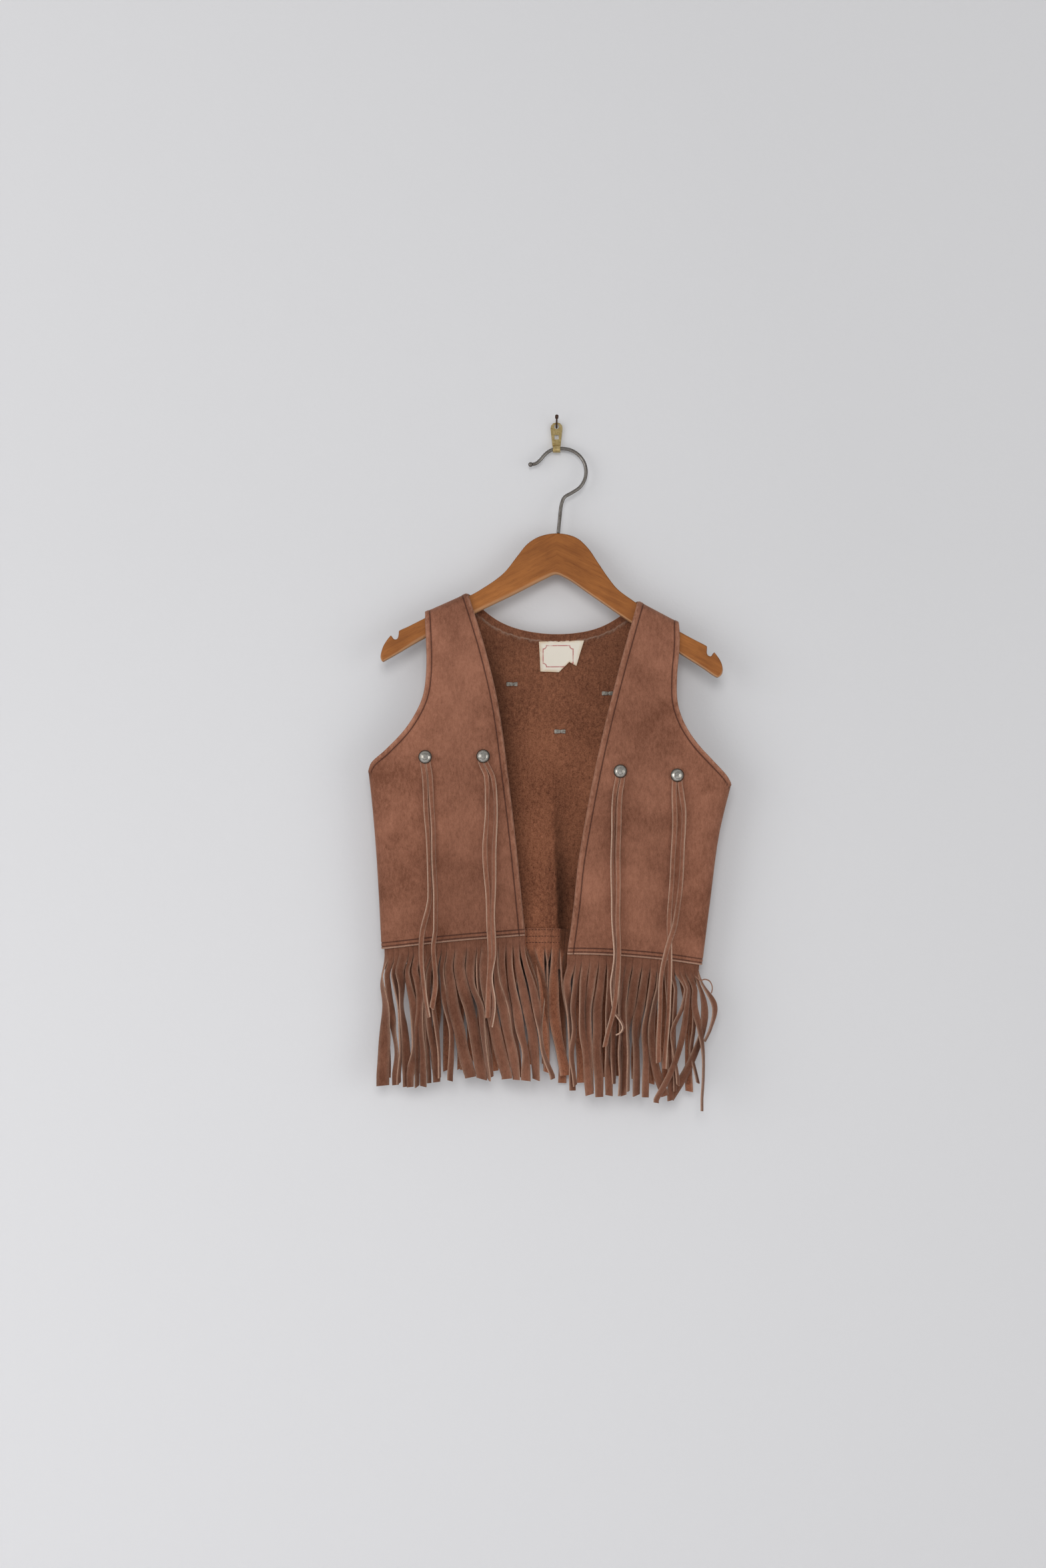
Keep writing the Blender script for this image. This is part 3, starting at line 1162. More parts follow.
# Fringe sewn behind a hem, whose pattern gives x and z for a share of its length. Each strap starts
# behind the panel and stays side by side with its neighbours to the foot of the strip, then hangs to its
# own places.
def makeFringe(name, hem, side, rows, turned, node):
    wide, count = rows["wide"], len(rows["wide"])
    number = np.arange(count)
    places = np.linspace(0, 1, 201)
    lengths = lengthsAlong(behindHem(hem, side, turned, places, 0, fringe["hemDepth"])[0])
    ends = np.concatenate([[0], np.cumsum(wide)]) * lengths[-1] / wide.sum()
    share = np.interp(ends, lengths, places)
    middle = cloth["thick"] + fringe["gap"] + fringe["thick"] / 2
    rootDrop = fringe["below"] + fringe["belowMore"] * (chance(number, 9) + chance(number + 1, 9)) / 2

    down = np.linspace(0, 1, fringe["stripSteps"])[None]
    drops = -fringe["above"] + (rootDrop[:, None] + fringe["above"]) * down
    fromSide, outA = behindHem(hem, side, turned, share[:-1, None] + 0 * drops, drops, middle)
    toSide, outB = behindHem(hem, side, turned, share[1:, None] + 0 * drops, drops, middle)
    stripCentres, stripAlong, stripNear = (fromSide + toSide) / 2, unit(toSide - fromSide), unit(outA + outB)
    stripHalf = np.linalg.norm(toSide - fromSide, axis=-1) / 2

    f = np.linspace(0, 1, fringe["steps"] + 1)[1:]
    leave = ease(f)[None]
    root = stripCentres[:, -1]
    long = rows["long"] if "long" in rows else root[:, 2] - rows["foot"]
    z = root[:, 2:3] - long[:, None] * f[None]
    flatAlong = unit(stripAlong[:, -1] * [1, 1, 0])[:, None]
    flatNear = unit(stripNear[:, -1] * [1, 1, 0])[:, None]
    wave = fringe["wander"] * chanceWave(f, 1.6, number, 11) * np.minimum(1, 3 * f)
    if "levels" in rows:
        bend = np.arctan2(flatAlong[..., 1] * turned, flatAlong[..., 0] * turned)
        x, turn = tableCourse(rows, root, z, bend)
    else:
        x, turn = freeCourse(rows, root, f, wave, number)
    y = root[:, 1:2] - rows["fore"][:, None] * leave + wave

    centres = np.concatenate([stripCentres, np.stack([x, y, z], -1)], 1)
    along = np.concatenate([stripAlong, turnedBy(flatAlong, turn)], 1)
    near = np.concatenate([stripNear, turnedBy(flatNear, turn)], 1)
    hanging = np.broadcast_to(np.minimum(1, 14 * f), (count, len(f)))
    free = np.concatenate([np.zeros((count, fringe["stripSteps"])), hanging], 1)
    footHalf = mix(stripHalf[:, -1:], rows["footWide"][:, None] / 2, ease(f / 0.45)[None])
    uneven = fringe["uneven"] * chanceWave(f, 2.3, number, 13) * leave
    half = np.concatenate([stripHalf, footHalf + uneven], 1) - fringe["slit"] / 2 * free
    shade = (rows["shade"] + fringe["shadeMore"] * (chance(number, 14) - 0.5))[:, None]
    low = ease((fringe["lightBelow"] - centres[..., 2]) / 60)
    return makeStraps(
        name, centres, along, near, half, fringe["thick"] / 2,
        tone=mix(rows["stripShade"], shade, free),
        tip=fringe["tip"] * (chance(number, 15) - 0.5),
        replaced=[node],
        cup=fringe["cup"] * (chance(number, 16) - 0.5),
        free=free,
        edge=fringe["edge"],
        deep=mix(rows["stripDeep"][:, None], rows["deep"][:, None] * (1 - 0.75 * low), free),
    )


# A front's hem line: closer together where the cloth turns round the side.
def frontHem(cut):
    def hem(s):
        return frontPattern(cut, 1 - (1 - s) ** 2, np.zeros_like(s))

    return hem


rightRows, leftRows = tableRows(rightStrands, rightLevels), tableRows(leftStrands, leftLevels)
rightFringe = makeFringe("rightFrontFringe", frontHem(rightFront), -1, rightRows, -1, "right_front_fringe")
leftFringe = makeFringe("leftFrontFringe", frontHem(leftFront), -1, leftRows, 1, "left_front_fringe")
backFringe = makeFringe("backFringe", backHem, 1, backRows(), -1, "back_fringe")
print("fringe made")

thongs = {
    "wide": 4.2,
    "thick": 1.3,
    "slit": 0.5,
    "gap": 0.3,
    "steps": 90,
    "under": (-3, 4.6),  # where it lies flat under the nailhead, down from its middle
    "wander": 0.25,
    "uneven": 0.15,
    "shadeMore": 0.10,
    "tip": 2.0,
    "cup": 0.3,
}
# Each nailhead, with the turn of its flats and, for each of its thongs, how far down, x, how far it
# stands off the cloth and the turn of its width
heads = {
    "right_outer": {
        "side": -1, "x": -114.5, "z": -292.5, "turn": 2,
        "thongs": [
            [(17.5, -115, 1.6, 10), (45.5, -113.5, 1.8, 20), (119.5, -110.6, 3, 35), (153.5, -117, 5.5, 10),
             (178.5, -118, 7, -20), (202.5, -115, 8, -40), (225.5, -111.1, 8, -60)],
            [(19.5, -110, 0.6, 0), (61.5, -107.8, 0.8, 30), (147.5, -105.5, 3, 40), (167.5, -107.8, 4, 10),
             (197.5, -105.4, 6, -10), (217.5, -108.5, 11, 30)],
        ],
    },
    "right_inner": {
        "side": -1, "x": -64.3, "z": -291.9, "turn": 2,
        "thongs": [
            [(18.1, -61.4, 1.4, 10), (46.1, -60.9, 1.4, 40), (78.1, -62.7, 1.4, 20), (131.1, -59.8, 3, 30),
             (174.1, -58.6, 6, 0), (226.1, -60.4, 8, 10)],
            [(18.1, -55.8, 0.6, -10), (38.1, -53.4, 0.8, -50), (88.1, -54.6, 0.8, -40),
             (138.1, -55.5, 3, -40), (170, -55.2, 5, -30), (191, -57.1, 7, -62), (210, -54.8, 7, -66),
             (220, -55.2, 7, -64), (234.2, -57.4, 7, -60)],
        ],
    },
    "left_inner": {
        "side": -1, "x": 54.5, "z": -304.9, "turn": 1,
        "thongs": [
            [(19.1, 49.8, 0.6, 20), (45.1, 48, 0.6, 55), (118.1, 47.6, 2, 60), (155, 49.6, 5, 66),
             (170, 48.4, 5, 70), (182.1, 46.8, 5, 70), (193, 47.4, 5, 70), (208, 49.2, 5, 70),
             (213, 52.4, 5, 70), (217.4, 55.4, 5, 70), (222, 56.8, 5, 70), (226, 55, 5, 70),
             (228, 51.4, 5, 70)],
            [(19.7, 54.4, 1.8, -10), (40.1, 53, 1.8, -5), (118.1, 52.4, 3.6, -10), (161.1, 52.6, 6.5, 0),
             (186, 51.6, 8, -36), (205, 48.8, 9.5, 10), (225, 43.8, 9.5, 20), (238, 41.2, 9.5, 10)],
        ],
    },
    "left_outer": {
        "side": -1, "x": 103.8, "z": -308.3, "turn": 1,
        "thongs": [
            [(17.7, 101.3, 0.6, 20), (36.7, 101.7, 0.6, 10), (72.7, 100.4, 1, 20), (114.7, 97.4, 5, 10),
             (141.7, 97, 9, -40), (181.7, 97, 12.5, -50), (221.7, 94.5, 12.5, -40),
             (253.5, 92.3, 12.5, -30)],
            [(18.7, 108, 1.4, -20), (33.7, 109.5, 1.6, -40), (82.7, 107.6, 2.4, -30),
             (125.7, 102.6, 8.5, 10), (149.7, 94.6, 13.5, 20), (171.7, 90, 15.5, 30),
             (206.7, 88, 15.5, 20), (247.7, 87, 15.5, 10)],
        ],
    },
    "back_right": {"side": 1, "x": -39.5, "z": -228, "turn": 1},
    "back_left": {"side": 1, "x": 44.6, "z": -236.1, "turn": 0},
    "back_low": {"side": 1, "x": 2.8, "z": -269.6, "turn": 0},
}
backThong = {"from": 20, "step": 38, "count": 6, "aside": 2.6, "sway": 0.9, "off": 0.3, "turn": 6}


# Tables of a pair that hangs straight, swaying a little and turning outward as it goes down.
def hangingThongs(head):
    rule = backThong
    tables = []
    for way in (-1, 1):
        k = np.arange(rule["count"])
        x = head["x"] + way * (rule["aside"] + rule["sway"] * np.sin(k + way))
        columns = (rule["from"] + rule["step"] * k, x, 0 * k + rule["off"], -way * rule["turn"] * k)
        tables.append(list(zip(*columns)))
    return tables


# A pair of thongs: side by side under the nailhead, then each down its own table, off the cloth by its
# own turned width.
def makeThongs(name, head, number):
    side = head["side"]
    parts = []
    for i, table in enumerate(head.get("thongs") or hangingThongs(head)):
        top = head["x"] + (i - 0.5) * (thongs["wide"] + thongs["slit"])
        table = [(down, top, 0, 0) for down in thongs["under"]] + table
        down, x, fore, turn = (np.array(column, float) for column in zip(*table))
        run = lengthsAlong(np.stack([down, x], -1))
        path = np.linspace(0, run[-1], thongs["steps"])
        at = smooth(run, down, path)
        angle = np.radians(smooth(run, turn, path))
        deep = (thongs["thick"] * np.cos(angle) + thongs["wide"] * np.abs(np.sin(angle))) / 2
        wander = thongs["wander"] * np.sin(at / 9 + i + number) * np.clip(at / 40, 0, 1)
        across = smooth(run, x, path) + wander
        height = head["z"] - at
        y = clothY(side, across, height) + side * (thongs["gap"] + smooth(run, fore, path) + deep)
        parts.append((
            np.stack([across, y, height], -1),
            np.stack([np.cos(angle), np.sin(angle), 0 * angle], -1),
            np.stack([0 * angle, side * np.cos(angle) + 1e-3, 0 * angle], -1),
        ))
    centres, along, near = (np.stack(arrays) for arrays in zip(*parts))
    count = np.arange(len(parts)) + 2 * number
    half = thongs["wide"] / 2 + thongs["uneven"] * np.sin(np.arange(thongs["steps"]) / 7 + count[:, None])
    return makeStraps(
        f"thongs_{name}_pair", centres, along, near, half, thongs["thick"] / 2,
        tone=thongs["shadeMore"] * (chance(count, 21)[:, None] - 0.3),
        tip=thongs["tip"] * (chance(count, 22) - 0.5),
        replaced=[f"thongs_{name}"],
        cup=thongs["cup"] * (chance(count, 23) - 0.5),
    )


# A thin lace that loops out from the left front's side, under its fringe
loop = {
    "x": [120.5, 124.8, 128.9, 132.5, 134.4, 135, 134.2],
    "z": [-483.5, -486.9, -486.1, -487.4, -490.5, -494.1, -498],
    "y": [-33, -33, -34, -35.5, -36, -36, -35],
    "wide": 1.0,
    "thick": 0.9,
    "shade": -0.3,
    "edge": 0.25,
    "steps": 60,
}


# The lace: its section carried along a smooth line through the loop's points.
def makeLace():
    line = np.stack([loop["x"], loop["y"], loop["z"]], -1).astype(float)
    run = lengthsAlong(line)
    path = np.linspace(0, run[-1], loop["steps"])
    centres = np.stack([smooth(run, line[:, k], path) for k in range(3)], -1)[None]
    along = np.broadcast_to([0.0, 1.0, 0.2], centres.shape)
    near = np.broadcast_to([0.3, 0.0, 1.0], centres.shape)
    half = np.full(centres.shape[:2], loop["wide"] / 2)
    return makeStraps(
        "leftFrontLace", centres, along, near, half, loop["thick"] / 2,
        tone=loop["shade"], tip=0, edge=loop["edge"],
    )


lace = makeLace()

nailhead = {
    "radius": 5.9,
    "sunk": 0.05,  # into the thongs under it
    "sides": 60,
    "facets": 10,
    "facetHeight": 2.2,
    "facetFade": 1.1,
    "rimDark": 0.85,  # tarnish round the rim and in the ring at the middle
    "ringDark": 0.5,
    "ringAt": 0.47,
    "profile": [
        (0, 0), (0.93, 0), (1, 0.25), (1, 0.75), (0.97, 1.0), (0.9, 1.5), (0.74, 2.45), (0.58, 3.1),
        (0.53, 3.28), (0.5, 3.3), (0.47, 3.2), (0.42, 3.25), (0.3, 3.5), (0.14, 3.62), (0, 3.65),
    ],
}


# A nailhead: a profile turned round an axis square to the cloth, with flats on its slope.
def makeNailhead(name, head):
    side, x, z = head["side"], head["x"], head["z"]
    step = 0.5
    slopeX = (clothY(side, x + step, z) - clothY(side, x - step, z)) / (2 * step)
    slopeZ = (clothY(side, x, z + step) - clothY(side, x, z - step)) / (2 * step)
    out = unit(np.array([-side * slopeX, side, -side * slopeZ]))
    right = unit(np.cross(out, [0, 0, 1]))
    up = np.cross(right, out)
    foot = np.array([x, clothY(side, x, z), z])

    radius, height = (np.array(column) for column in zip(*nailhead["profile"][1:-1]))
    angle = ringAngles(nailhead["sides"])
    flat = math.pi / nailhead["facets"]
    facet = math.cos(flat) / np.cos((angle + head["turn"]) % (2 * flat) - flat)
    faceted = np.clip(1 - np.abs(height - nailhead["facetHeight"]) / nailhead["facetFade"], 0, 1)[:, None]
    reach = radius[:, None] * nailhead["radius"] * mix(1, facet[None], faceted)
    rise = height[:, None] + 2 * thongs["gap"] + thongs["thick"] - nailhead["sunk"]
    turned = np.cos(angle)[:, None] * right + np.sin(angle)[:, None] * up
    points = foot + reach[..., None] * turned + rise[..., None] * out
    rings, sides = reach.shape
    poles = [foot + out * rise[0, 0], foot + out * (rise[-1, 0] + 0.05)]
    bottom, top, last = rings * sides, rings * sides + 1, (rings - 1) * sides
    ring = np.arange(sides)
    after = (ring + 1) % sides
    sets = [
        gridFaces(rings, sides, around=True),
        np.stack([np.full(sides, bottom), after, ring], -1),
        np.stack([np.full(sides, top), last + ring, last + after], -1),
    ]
    if np.dot(np.cross(right, up), out) < 0:
        sets = [faces[:, ::-1] for faces in sets]
    dark = nailhead["rimDark"] * ease((radius - 0.8) / 0.12)
    dark += nailhead["ringDark"] * np.clip(1 - np.abs(radius - nailhead["ringAt"]) / 0.08, 0, 1)
    points = np.concatenate([points.reshape(-1, 3), poles])
    dark = np.concatenate([np.repeat(dark, sides), np.zeros(2)])
    title, replaced = f"nailhead_{name}_dome", [f"nailhead_{name}"]
    makePiece(title, points, sets, finishes["nickel"], "nickel", replaced, sharp=28, rim=dark)


prong = {
    "reach": 4.9,
    "meet": 0.9,  # where both legs end, across from the nailhead's middle
    "overlap": 0.06,
    "wide": 3.9,
    "narrowing": 0.8,
    "thick": 0.9,
    "lift": 0.4,
    "rise": 0.4,
    "over": 0.25,  # one leg lies on the other
    "squareness": 0.6,
    "steps": 11,
    "around": 12,
}


# Both legs of every nailhead on the inner side: flat bars, squarish in section, bent to meet each other.
def makeProngs():
    points, faces, ends, count = [], [], [], prong["steps"] * prong["around"]
    f, angle = np.linspace(0, 1, prong["steps"])[:, None], ringAngles(prong["around"])[None]
    blunt = np.clip(np.minimum(f, 1 - f) * 10, 0.7, 1)
    half = mix(prong["wide"], prong["wide"] * prong["narrowing"], f) / 2 * blunt
    for head in heads.values():
        side, x, z = head["side"], head["x"], head["z"]
        foot = np.array([x, clothY(side, x, z) - side * (cloth["thick"] + 0.1), z])
        for way in (-1, 1):
            across = mix(way * prong["reach"], prong["meet"] + prong["overlap"] * way, f)
            lift = prong["rise"] * np.sin(math.pi * 0.85 * f) + prong["lift"] + prong["over"] * (way < 0)
            square = np.stack([
                across + 0 * angle,
                -side * (lift + prong["thick"] / 2 * squarer(np.sin(angle), prong["squareness"])),
                half * squarer(np.cos(angle), prong["squareness"]),
            ], -1)
            sides, first, last = tubeFaces(prong["steps"], prong["around"], way * side > 0)
            start = len(points) * count
            points.append((square + foot).reshape(-1, 3))
            faces.append(sides + start)
            ends.append(np.concatenate([first, last]) + start)
    sets = [np.concatenate(faces), np.concatenate(ends)]
    makePiece("nailhead_prongs", np.concatenate(points), sets, finishes["prongSteel"], "steel")


thongPieces = {}
for number, (name, head) in enumerate(heads.items()):
    thongPieces[name] = makeThongs(name, head, number)
    makeNailhead(name, head)
makeProngs()
print("nailheads and thongs made")


stitch = {
    "long": 2.2,
    "pitch": 2.8,
    "wide": 0.5,
    "rise": 0.28,
    "sunk": 0.34,
    "slant": 0.12,
    "steps": 6,
    "around": 6,
}


# Stitches along a line on the cloth: short rounded bars set every pitch, each along the line and bowed up.
def makeStitches(name, lines):
    pointSets, count = [], 0
    for line, outward in lines:
        run = lengthsAlong(line)
        number = int(run[-1] // stitch["pitch"]) - 1
        middle = (np.arange(number) + 0.8) * stitch["pitch"]

        def at(length, values):
            return np.stack([np.interp(length, run, values[:, k]) for k in range(3)], -1)

        centre = at(middle, line)
        way = unit(at(middle + 0.5, line) - at(middle - 0.5, line))
        up = at(middle, outward)
        up = unit(up - way * (up * way).sum(-1, keepdims=True))
        across = np.cross(way, up)
        f = np.linspace(-1, 1, stitch["steps"])[:, None]
        angle = ringAngles(stitch["around"])[None]
        thick = stitch["wide"] / 2 * np.sqrt(np.clip(1.08 - f**2, 0.08, 1))
        runAlong = f * stitch["long"] / 2 + 0 * angle
        lift = stitch["rise"] * (1 - f**2) - stitch["sunk"] + thick * np.sin(angle)
        slant = stitch["slant"] * (chance(np.arange(number), 31) - 0.5)[:, None, None]
        points = (
            centre[:, None, None]
            + way[:, None, None] * runAlong[None, ..., None]
            + up[:, None, None] * lift[None, ..., None]
            + across[:, None, None] * (thick * np.cos(angle) + slant * runAlong[None])[..., None]
        )
        pointSets.append(points.reshape(-1, 3))
        count += number
    size = stitch["steps"] * stitch["around"]
    sets = repeatFaces(tubeFaces(stitch["steps"], stitch["around"], True), count, size)
    return makePiece(name, np.concatenate(pointSets), sets, finishes["thread"], "suede")


# Points at a distance inside a line of the pattern, laid on the worn cloth, with the cloth's outward
# normals there.
def insideLine(side, x, z, distance, toward):
    run = unit(np.stack([np.gradient(x), np.gradient(z)], -1))
    inward = np.stack([-run[:, 1], run[:, 0]], -1) * toward
    px, pz = x + inward[:, 0] * distance, z + inward[:, 1] * distance
    line = drape(side, px, pz)
    step = 0.5
    alongX = drape(side, px + step, pz) - drape(side, px - step, pz)
    alongZ = drape(side, px, pz + step) - drape(side, px, pz - step)
    normal = unit(np.cross(alongX, alongZ))
    return line, normal * np.where(normal[:, 1:2] * side < 0, -1, 1)


# Stitch lines of a front: along its edge, its armhole and, twice, its hem.
def frontStitches(cut, turned):
    t = np.linspace(0.012, 0.985, 400)
    x, z = (smooth(cut["edgeAt"], cut[key], t) for key in ("edgeX", "edgeZ"))
    lines = [insideLine(-1, x, z, sewing["edgeLine"], -turned)]
    t = np.linspace(underarmShare + 0.004, 0.985, 300)
    lines.append(insideLine(-1, *sideLine(cut, t), sewing["holeLine"], turned))
    share = np.linspace(0.01, 0.93, 300)
    x, z = frontPattern(cut, share, np.zeros_like(share))
    for distance in sewing["hemLines"]:
        lines.append(insideLine(-1, x, z, distance, turned))
    return lines


# Stitch lines of the back: armholes, neck, hem and, inside, those that hold its strip of fringe.
def backStitches():
    lines = []
    t = np.linspace(underarmShare + 0.004, 0.985, 300)
    lines.append(insideLine(1, *sideLine(rightFront, t), sewing["holeLine"], -1))
    lines.append(insideLine(1, *sideLine(leftFront, t), sewing["holeLine"], 1))
    s = np.linspace(back["shoulderShare"] + 0.01, 1 - back["shoulderShare"] - 0.01, 300)
    lines.append(insideLine(1, *backTop(s), sewing["holeLine"], -1))
    s = np.linspace(0.09, 0.91, 400)
    for distance in sewing["hemLines"]:
        lines.append(insideLine(1, *backHem(s), distance, 1))
    s = np.linspace(0.36, 0.64, 200)
    through = cloth["thick"] + fringe["gap"] + fringe["thick"] + 0.1
    for distance in sewing["stripLines"]:
        line, outward = insideLine(1, *backHem(s), distance, 1)
        lines.append((line - outward * through, -outward))
    return lines


rightThread = makeStitches("rightFrontStitches", frontStitches(rightFront, -1))
leftThread = makeStitches("leftFrontStitches", frontStitches(leftFront, 1))
backThread = makeStitches("backStitches", backStitches())
print("stitches made")


label = {
    "at": [0, 0.4, 0.62, 0.8, 1],
    "x": [-15.8, 0.2, 8.9, 16, 24],
    "z": [-190.7, -190.3, -190.1, -189.9, -189.7],
    "lowAt": [0, 0.42, 0.7, 1],
    "lowX": [-14.5, 1.9, 10.9, 17.3],
    "lowZ": [-216.9, -217.5, -208.6, -212],
    "thick": 0.5,
    "off": 0.9,
    "curl": 1.0,
    "wave": 0.15,
    "rimShade": 0.85,
    "columns": 120,
    "rows": 60,
}


# A label sewn by its upper edge: columns from its top line to its torn lower line, curling up at its foot.
def makeLabel():
    columns, rows, look = label["columns"], label["rows"], labelLook
    s, t = np.meshgrid(np.linspace(0, 1, columns), np.linspace(0, 1, rows))
    lowX, lowZ = (np.interp(s, label["lowAt"], label[key]) for key in ("lowX", "lowZ"))
    x = mix(lowX, smooth(label["at"], label["x"], s), t) - 1.2 * t * (1 - t) * (s - 0.5)
    z = mix(lowZ, smooth(label["at"], label["z"], s), t)
    curl = label["curl"] * (1 - t) ** 2 * (0.4 + 0.6 * s) + label["wave"] * np.sin(x * 0.55 + 1) * (1 - t)
    grid = np.stack([x, clothY(1, x, z) - cloth["thick"] - label["off"] - curl, z], -1)
    behind = grid - normalsOf(grid, 1) * label["thick"]
    rim, count = rimOf(rows, columns), rows * columns
    after = np.roll(rim, -1)
    faces = np.concatenate([
        gridFaces(rows, columns),
        gridFaces(rows, columns)[:, ::-1] + count,
        np.stack([after, rim, rim + count, after + count], -1),
    ])
    # the printed line: a rectangle whose corners step in by quarter rounds
    dx = np.abs(x - look["centre"][0]) - look["frame"][0]
    dz = np.abs(z - look["centre"][1]) - look["frame"][1]
    line = np.abs(np.maximum(np.maximum(dx, dz), look["corner"] - np.hypot(dx, dz)))
    edge = np.minimum(np.minimum(s, 1 - s) * 34, np.minimum(t, 1 - t) * 26)
    ink = np.clip(1.3 - line / look["line"], 0, 1).ravel()
    rimShade = label["rimShade"] * np.clip(1 - edge / 3.0, 0, 1).ravel()
    points = np.concatenate([grid.reshape(-1, 3), behind.reshape(-1, 3)])
    ink, rimShade = (np.concatenate([values, 0 * values]) for values in (ink, rimShade))
    makePiece("neckLabel", points, [faces], labelCloth, "label", ["label"], ink=ink, rim=rimShade)


makeLabel()


hangerShape = {
    "top": [
        (-154, -204.6), (-153.3, -200.7), (-151.8, -196), (-149.1, -191.2), (-146.3, -187.6),
        (-145, -186.4), (-144.3, -187.2), (-143.1, -188.9), (-141.3, -189.8), (-139.6, -189.2),
        (-138.7, -187.4), (-138.3, -184.6), (-138.1, -182.6), (-137.3, -181.8), (-131, -178.9),
        (-119, -172.8), (-100, -162.9), (-72.6, -149.2), (-61.9, -142.6), (-53.4, -136.8), (-44.9, -129.3),
        (-34.3, -115.5), (-25.8, -105.2), (-15.1, -98.6), (0.8, -95.9), (16.8, -99.6), (27.4, -109.1),
        (36, -121.9), (44.5, -134.6), (53, -145.3), (66, -155.2), (98, -177.6), (118, -189),
        (129.9, -195.3), (130.7, -196.1), (130.7, -198.4), (130.6, -201.5), (131.4, -203.6),
        (133.5, -204.6), (135.2, -203.8), (136.2, -202.2), (137, -201.3), (138.1, -202.4), (140.5, -205.5),
        (142.8, -209.5), (144.1, -214.2),
    ],
    "foot": [
        (144.1, -218.2), (142.8, -221.2), (140.1, -223), (137.3, -221.9), (128, -215.4), (108.3, -202.7),
        (63.6, -174), (31.7, -151.7), (8, -135.4), (-0.8, -132.2), (-10, -136), (-36.4, -149.5),
        (-71.5, -166.6), (-116.2, -188.9), (-140, -202.6), (-149.7, -208.1), (-152.1, -209.2),
        (-153.6, -207.4),
    ],
    "peaks": [(-145, -186.6), (137, -201.5)],
    "topEdge": 1.4,
    "footEdge": (1.6, 3.4),  # the right arm's and, between these x, the left arm's
    "wideFrom": (6, 16),
    "wideTo": (-146, 30),
    "between": 8,
    "blur": 7,
    "arc": 7,
}


# Centripetal curve through points: each span a cubic whose knots are spaced by the root of the chord.
def curveThrough(points, between, closed):
    points = np.asarray(points, float)
    count = len(points)

    def pick(k):
        return points[k % count] if closed else points[np.clip(k, 0, count - 1)]

    def knotGap(a, b):
        return np.maximum(np.linalg.norm(b - a, axis=-1), 1e-3)[:, None, None] ** 0.5

    i = np.arange(count if closed else count - 1)
    p0, p1, p2, p3 = (pick(i + k) for k in (-1, 0, 1, 2))
    t1 = knotGap(p0, p1)
    t2 = t1 + knotGap(p1, p2)
    t3 = t2 + knotGap(p2, p3)
    p0, p1, p2, p3 = (p[:, None] for p in (p0, p1, p2, p3))
    t = t1 + (t2 - t1) * (np.arange(between) / between)[None, :, None]
    a1 = mix(p0, p1, t / t1)
    a2 = mix(p1, p2, (t - t1) / (t2 - t1))
    a3 = mix(p2, p3, (t - t2) / (t3 - t2))
    b1 = mix(a1, a2, t / t2)
    b2 = mix(a2, a3, (t - t1) / (t3 - t1))
    curve = mix(b1, b2, (t - t1) / (t2 - t1)).reshape(-1, points.shape[1])
    return curve if closed else np.concatenate([curve, points[-1:]])


# A closed row of values, each the mean of itself and its neighbours within reach.
def blurRound(values, reach):
    padded = np.concatenate([values[-reach:], values, values[:reach]])
    return np.convolve(padded, np.ones(2 * reach + 1) / (2 * reach + 1), "valid")


# How far each point of the hanger's outline is rounded: more under the arms, never more than a tight bend
# allows, and hardly at the peaks of the notches.
def hangerEdge(outline, onTop):
    shape = hangerShape
    back, front = np.roll(outline, -1, 0), np.roll(outline, 1, 0)
    run = unit(back - front)
    turn = np.arccos(np.clip((np.roll(run, -1, 0) * np.roll(run, 1, 0)).sum(-1), -1, 1))
    bendRadius = np.linalg.norm(back - front, axis=-1) / np.maximum(turn, 1e-4)
    reach = shape["blur"]
    tight = np.min([np.roll(bendRadius, k) for k in range(1 - reach, reach)], axis=0)
    tight = blurRound(tight.clip(0, 30), reach)
    (fromX, fromWide), (toX, toWide) = shape["wideFrom"], shape["wideTo"]
    wide = ease((fromX - outline[:, 0]) / fromWide) * ease((outline[:, 0] - toX) / toWide)
    edge = np.minimum(mix(mix(*shape["footEdge"], wide), shape["topEdge"], onTop), 0.75 * tight)
    for peak in shape["peaks"]:
        edge = np.minimum(edge, 0.1 + 0.3 * np.linalg.norm(outline - peak, axis=-1))
    return edge[None]


# The hanger: its outline, drawn in by a quarter round at both faces; the whole leans with the hook.
def makeHanger():
    shape = hangerShape
    outline = curveThrough(shape["top"] + shape["foot"], shape["between"], True)
    count = len(outline)
    run = unit(np.roll(outline, -1, 0) - np.roll(outline, 1, 0))
    inward = np.stack([run[:, 1], -run[:, 0]], -1)
    onTop = (np.arange(count) < len(shape["top"]) * shape["between"]).astype(float)
    onTop = blurRound(onTop, shape["blur"])
    edge = hangerEdge(outline, onTop)
    angle = np.linspace(0, math.pi / 2, shape["arc"])[:, None]
    fromRim, fromFace = edge * (1 - np.sin(angle)), edge * (1 - np.cos(angle))
    deep = np.concatenate([fromFace, hanger["thick"] - fromRim]) - hanger["thick"] / 2
    flat = outline[None] + inward[None] * np.concatenate([fromRim, fromFace])[..., None]
    points = np.stack([flat[..., 0], deep + hangerY(flat[..., 1]), flat[..., 1]], -1)
    under = np.concatenate([np.clip(1.5 * np.sin(angle), 0, 1), np.ones_like(angle)]) * (1 - onTop)
    sets = tubeFaces(len(points), count, True)
    makePiece("hangerWood", points, sets, wood, "wood", ["hanger_body"], sharp=40, under=under.ravel())


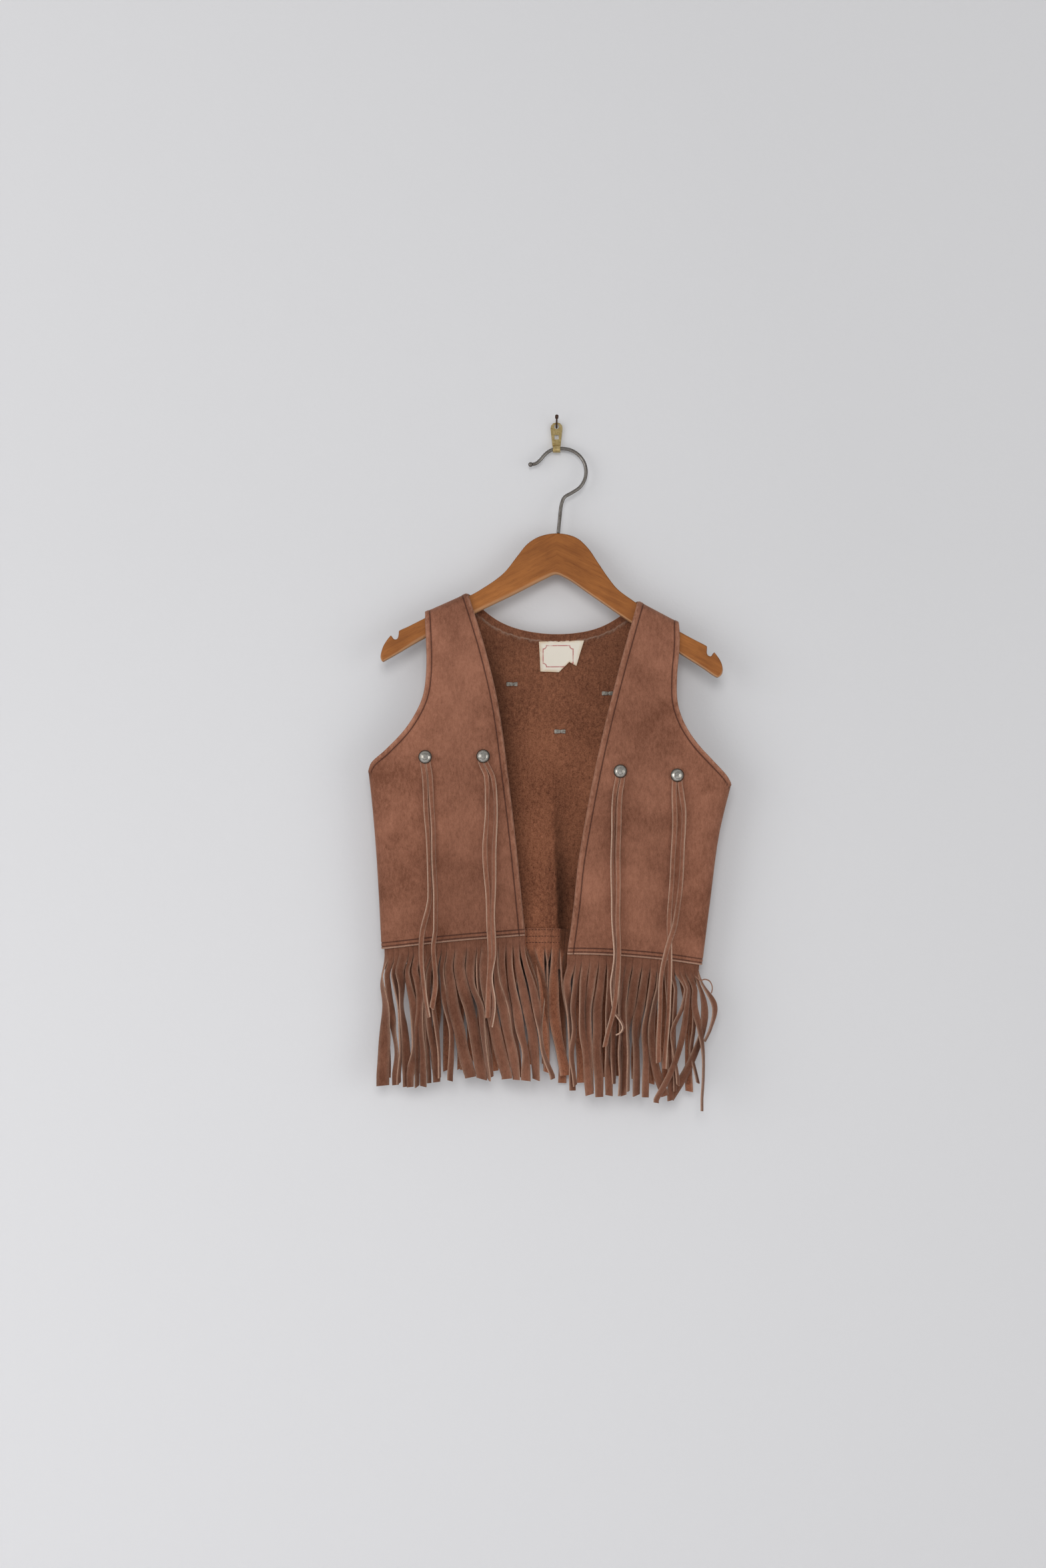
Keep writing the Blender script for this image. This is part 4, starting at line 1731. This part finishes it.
hookShape = {
    "path": [
        (1.2, -95.2), (2.4, -84), (4, -70), (6.8, -63.2), (13, -59.4), (20.3, -54.3), (24.6, -47.4),
        (25.9, -39.4), (24, -31.4), (19.2, -25), (12.6, -20.9), (5.2, -19.4), (-1.4, -19.8), (-6.4, -21.7),
        (-10.8, -25.3), (-14.8, -30), (-18.6, -33), (-21.4, -33.6),
    ],
    "radius": 1.5,
    "ball": 2.1,
    "around": 20,
    "between": 10,
}


# The hook: a round section along its path, swelling into a ball at its tip.
def makeHook():
    shape = hookShape
    flat = curveThrough(shape["path"], shape["between"], False)
    path = np.stack([flat[:, 0], hangerY(flat[:, 1]), flat[:, 1]], -1)
    way = unit(np.gradient(path, axis=0))
    f = np.linspace(0, math.pi, 15)
    centre = path[-1] + way[-1] * shape["ball"] * 0.8
    ball = centre - way[-1] * (np.cos(f) * shape["ball"])[:, None]
    keep = ((path - centre) ** 2).sum(-1) > shape["ball"] ** 2 * 0.75
    path = np.concatenate([path[keep], ball[2:]])
    ballRadius = np.maximum(shape["ball"] * np.sin(f), 0.05)
    radius = np.concatenate([np.full(keep.sum(), shape["radius"]), ballRadius[2:]])
    way = unit(np.gradient(path, axis=0))
    lean = math.radians(hanger["lean"])
    across = unit(np.cross(way, [0, math.cos(lean), -math.sin(lean)]))
    square = np.cross(across, way)
    angle = ringAngles(shape["around"])[None, :, None]
    section = np.cos(angle) * across[:, None] + np.sin(angle) * square[:, None]
    points = path[:, None] + radius[:, None, None] * section
    turned = (np.cross(across[0], square[0]) * way[0]).sum() < 0
    sets = tubeFaces(len(path), shape["around"], turned)
    makePiece("hangerHook", points, sets, finishes["steel"], "steel", ["hanger_hook"])


# A finished copy of a small solid: its corners joined, its flat faces made whole, its edges rounded.
def finishSolid(name, node, material, rounding):
    corner = math.radians(35)
    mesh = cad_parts[node].data.copy()
    piece = bpy.data.objects.new(name, mesh)
    bpy.context.scene.collection.objects.link(piece)
    work = bmesh.new()
    work.from_mesh(mesh)
    bmesh.ops.remove_doubles(work, verts=work.verts, dist=1e-6)
    bmesh.ops.dissolve_limit(work, angle_limit=math.radians(2), verts=work.verts, edges=work.edges)
    work.to_mesh(mesh)
    work.free()
    mesh.materials.clear()
    mesh.materials.append(material)
    mesh.shade_smooth()
    mesh.set_sharp_from_angle(angle=corner)
    bevel = piece.modifiers.new("rounding", "BEVEL")
    bevel.width = rounding * millimetre
    bevel.segments = 3
    bevel.angle_limit = corner
    bevel.harden_normals = True
    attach(piece, "root")
    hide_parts(node)


makeHanger()
makeHook()
finishSolid("wallTab", "wall_tab", finishes["brass"], 0.18)
finishSolid("wallNail", "nail", finishes["rust"], 0.15)
print("label, hanger, hook, tab and nail made")


# What hangs on each panel, and the size and area of its pattern laid flat, in metres
panels = [
    (rightPanel, (0.150, 0.325), 0.0305, [rightFringe, rightThread], ("right_outer", "right_inner")),
    (leftPanel, (0.150, 0.325), 0.0305, [leftFringe, leftThread, lace], ("left_inner", "left_outer")),
    (backPanel, (0.330, 0.325), 0.0815, [backFringe, backThread], ("back_right", "back_left", "back_low")),
]
for panel, flat, area, trims, names in panels:
    trims += [thongPieces[name] for name in names]

print("vest finished")
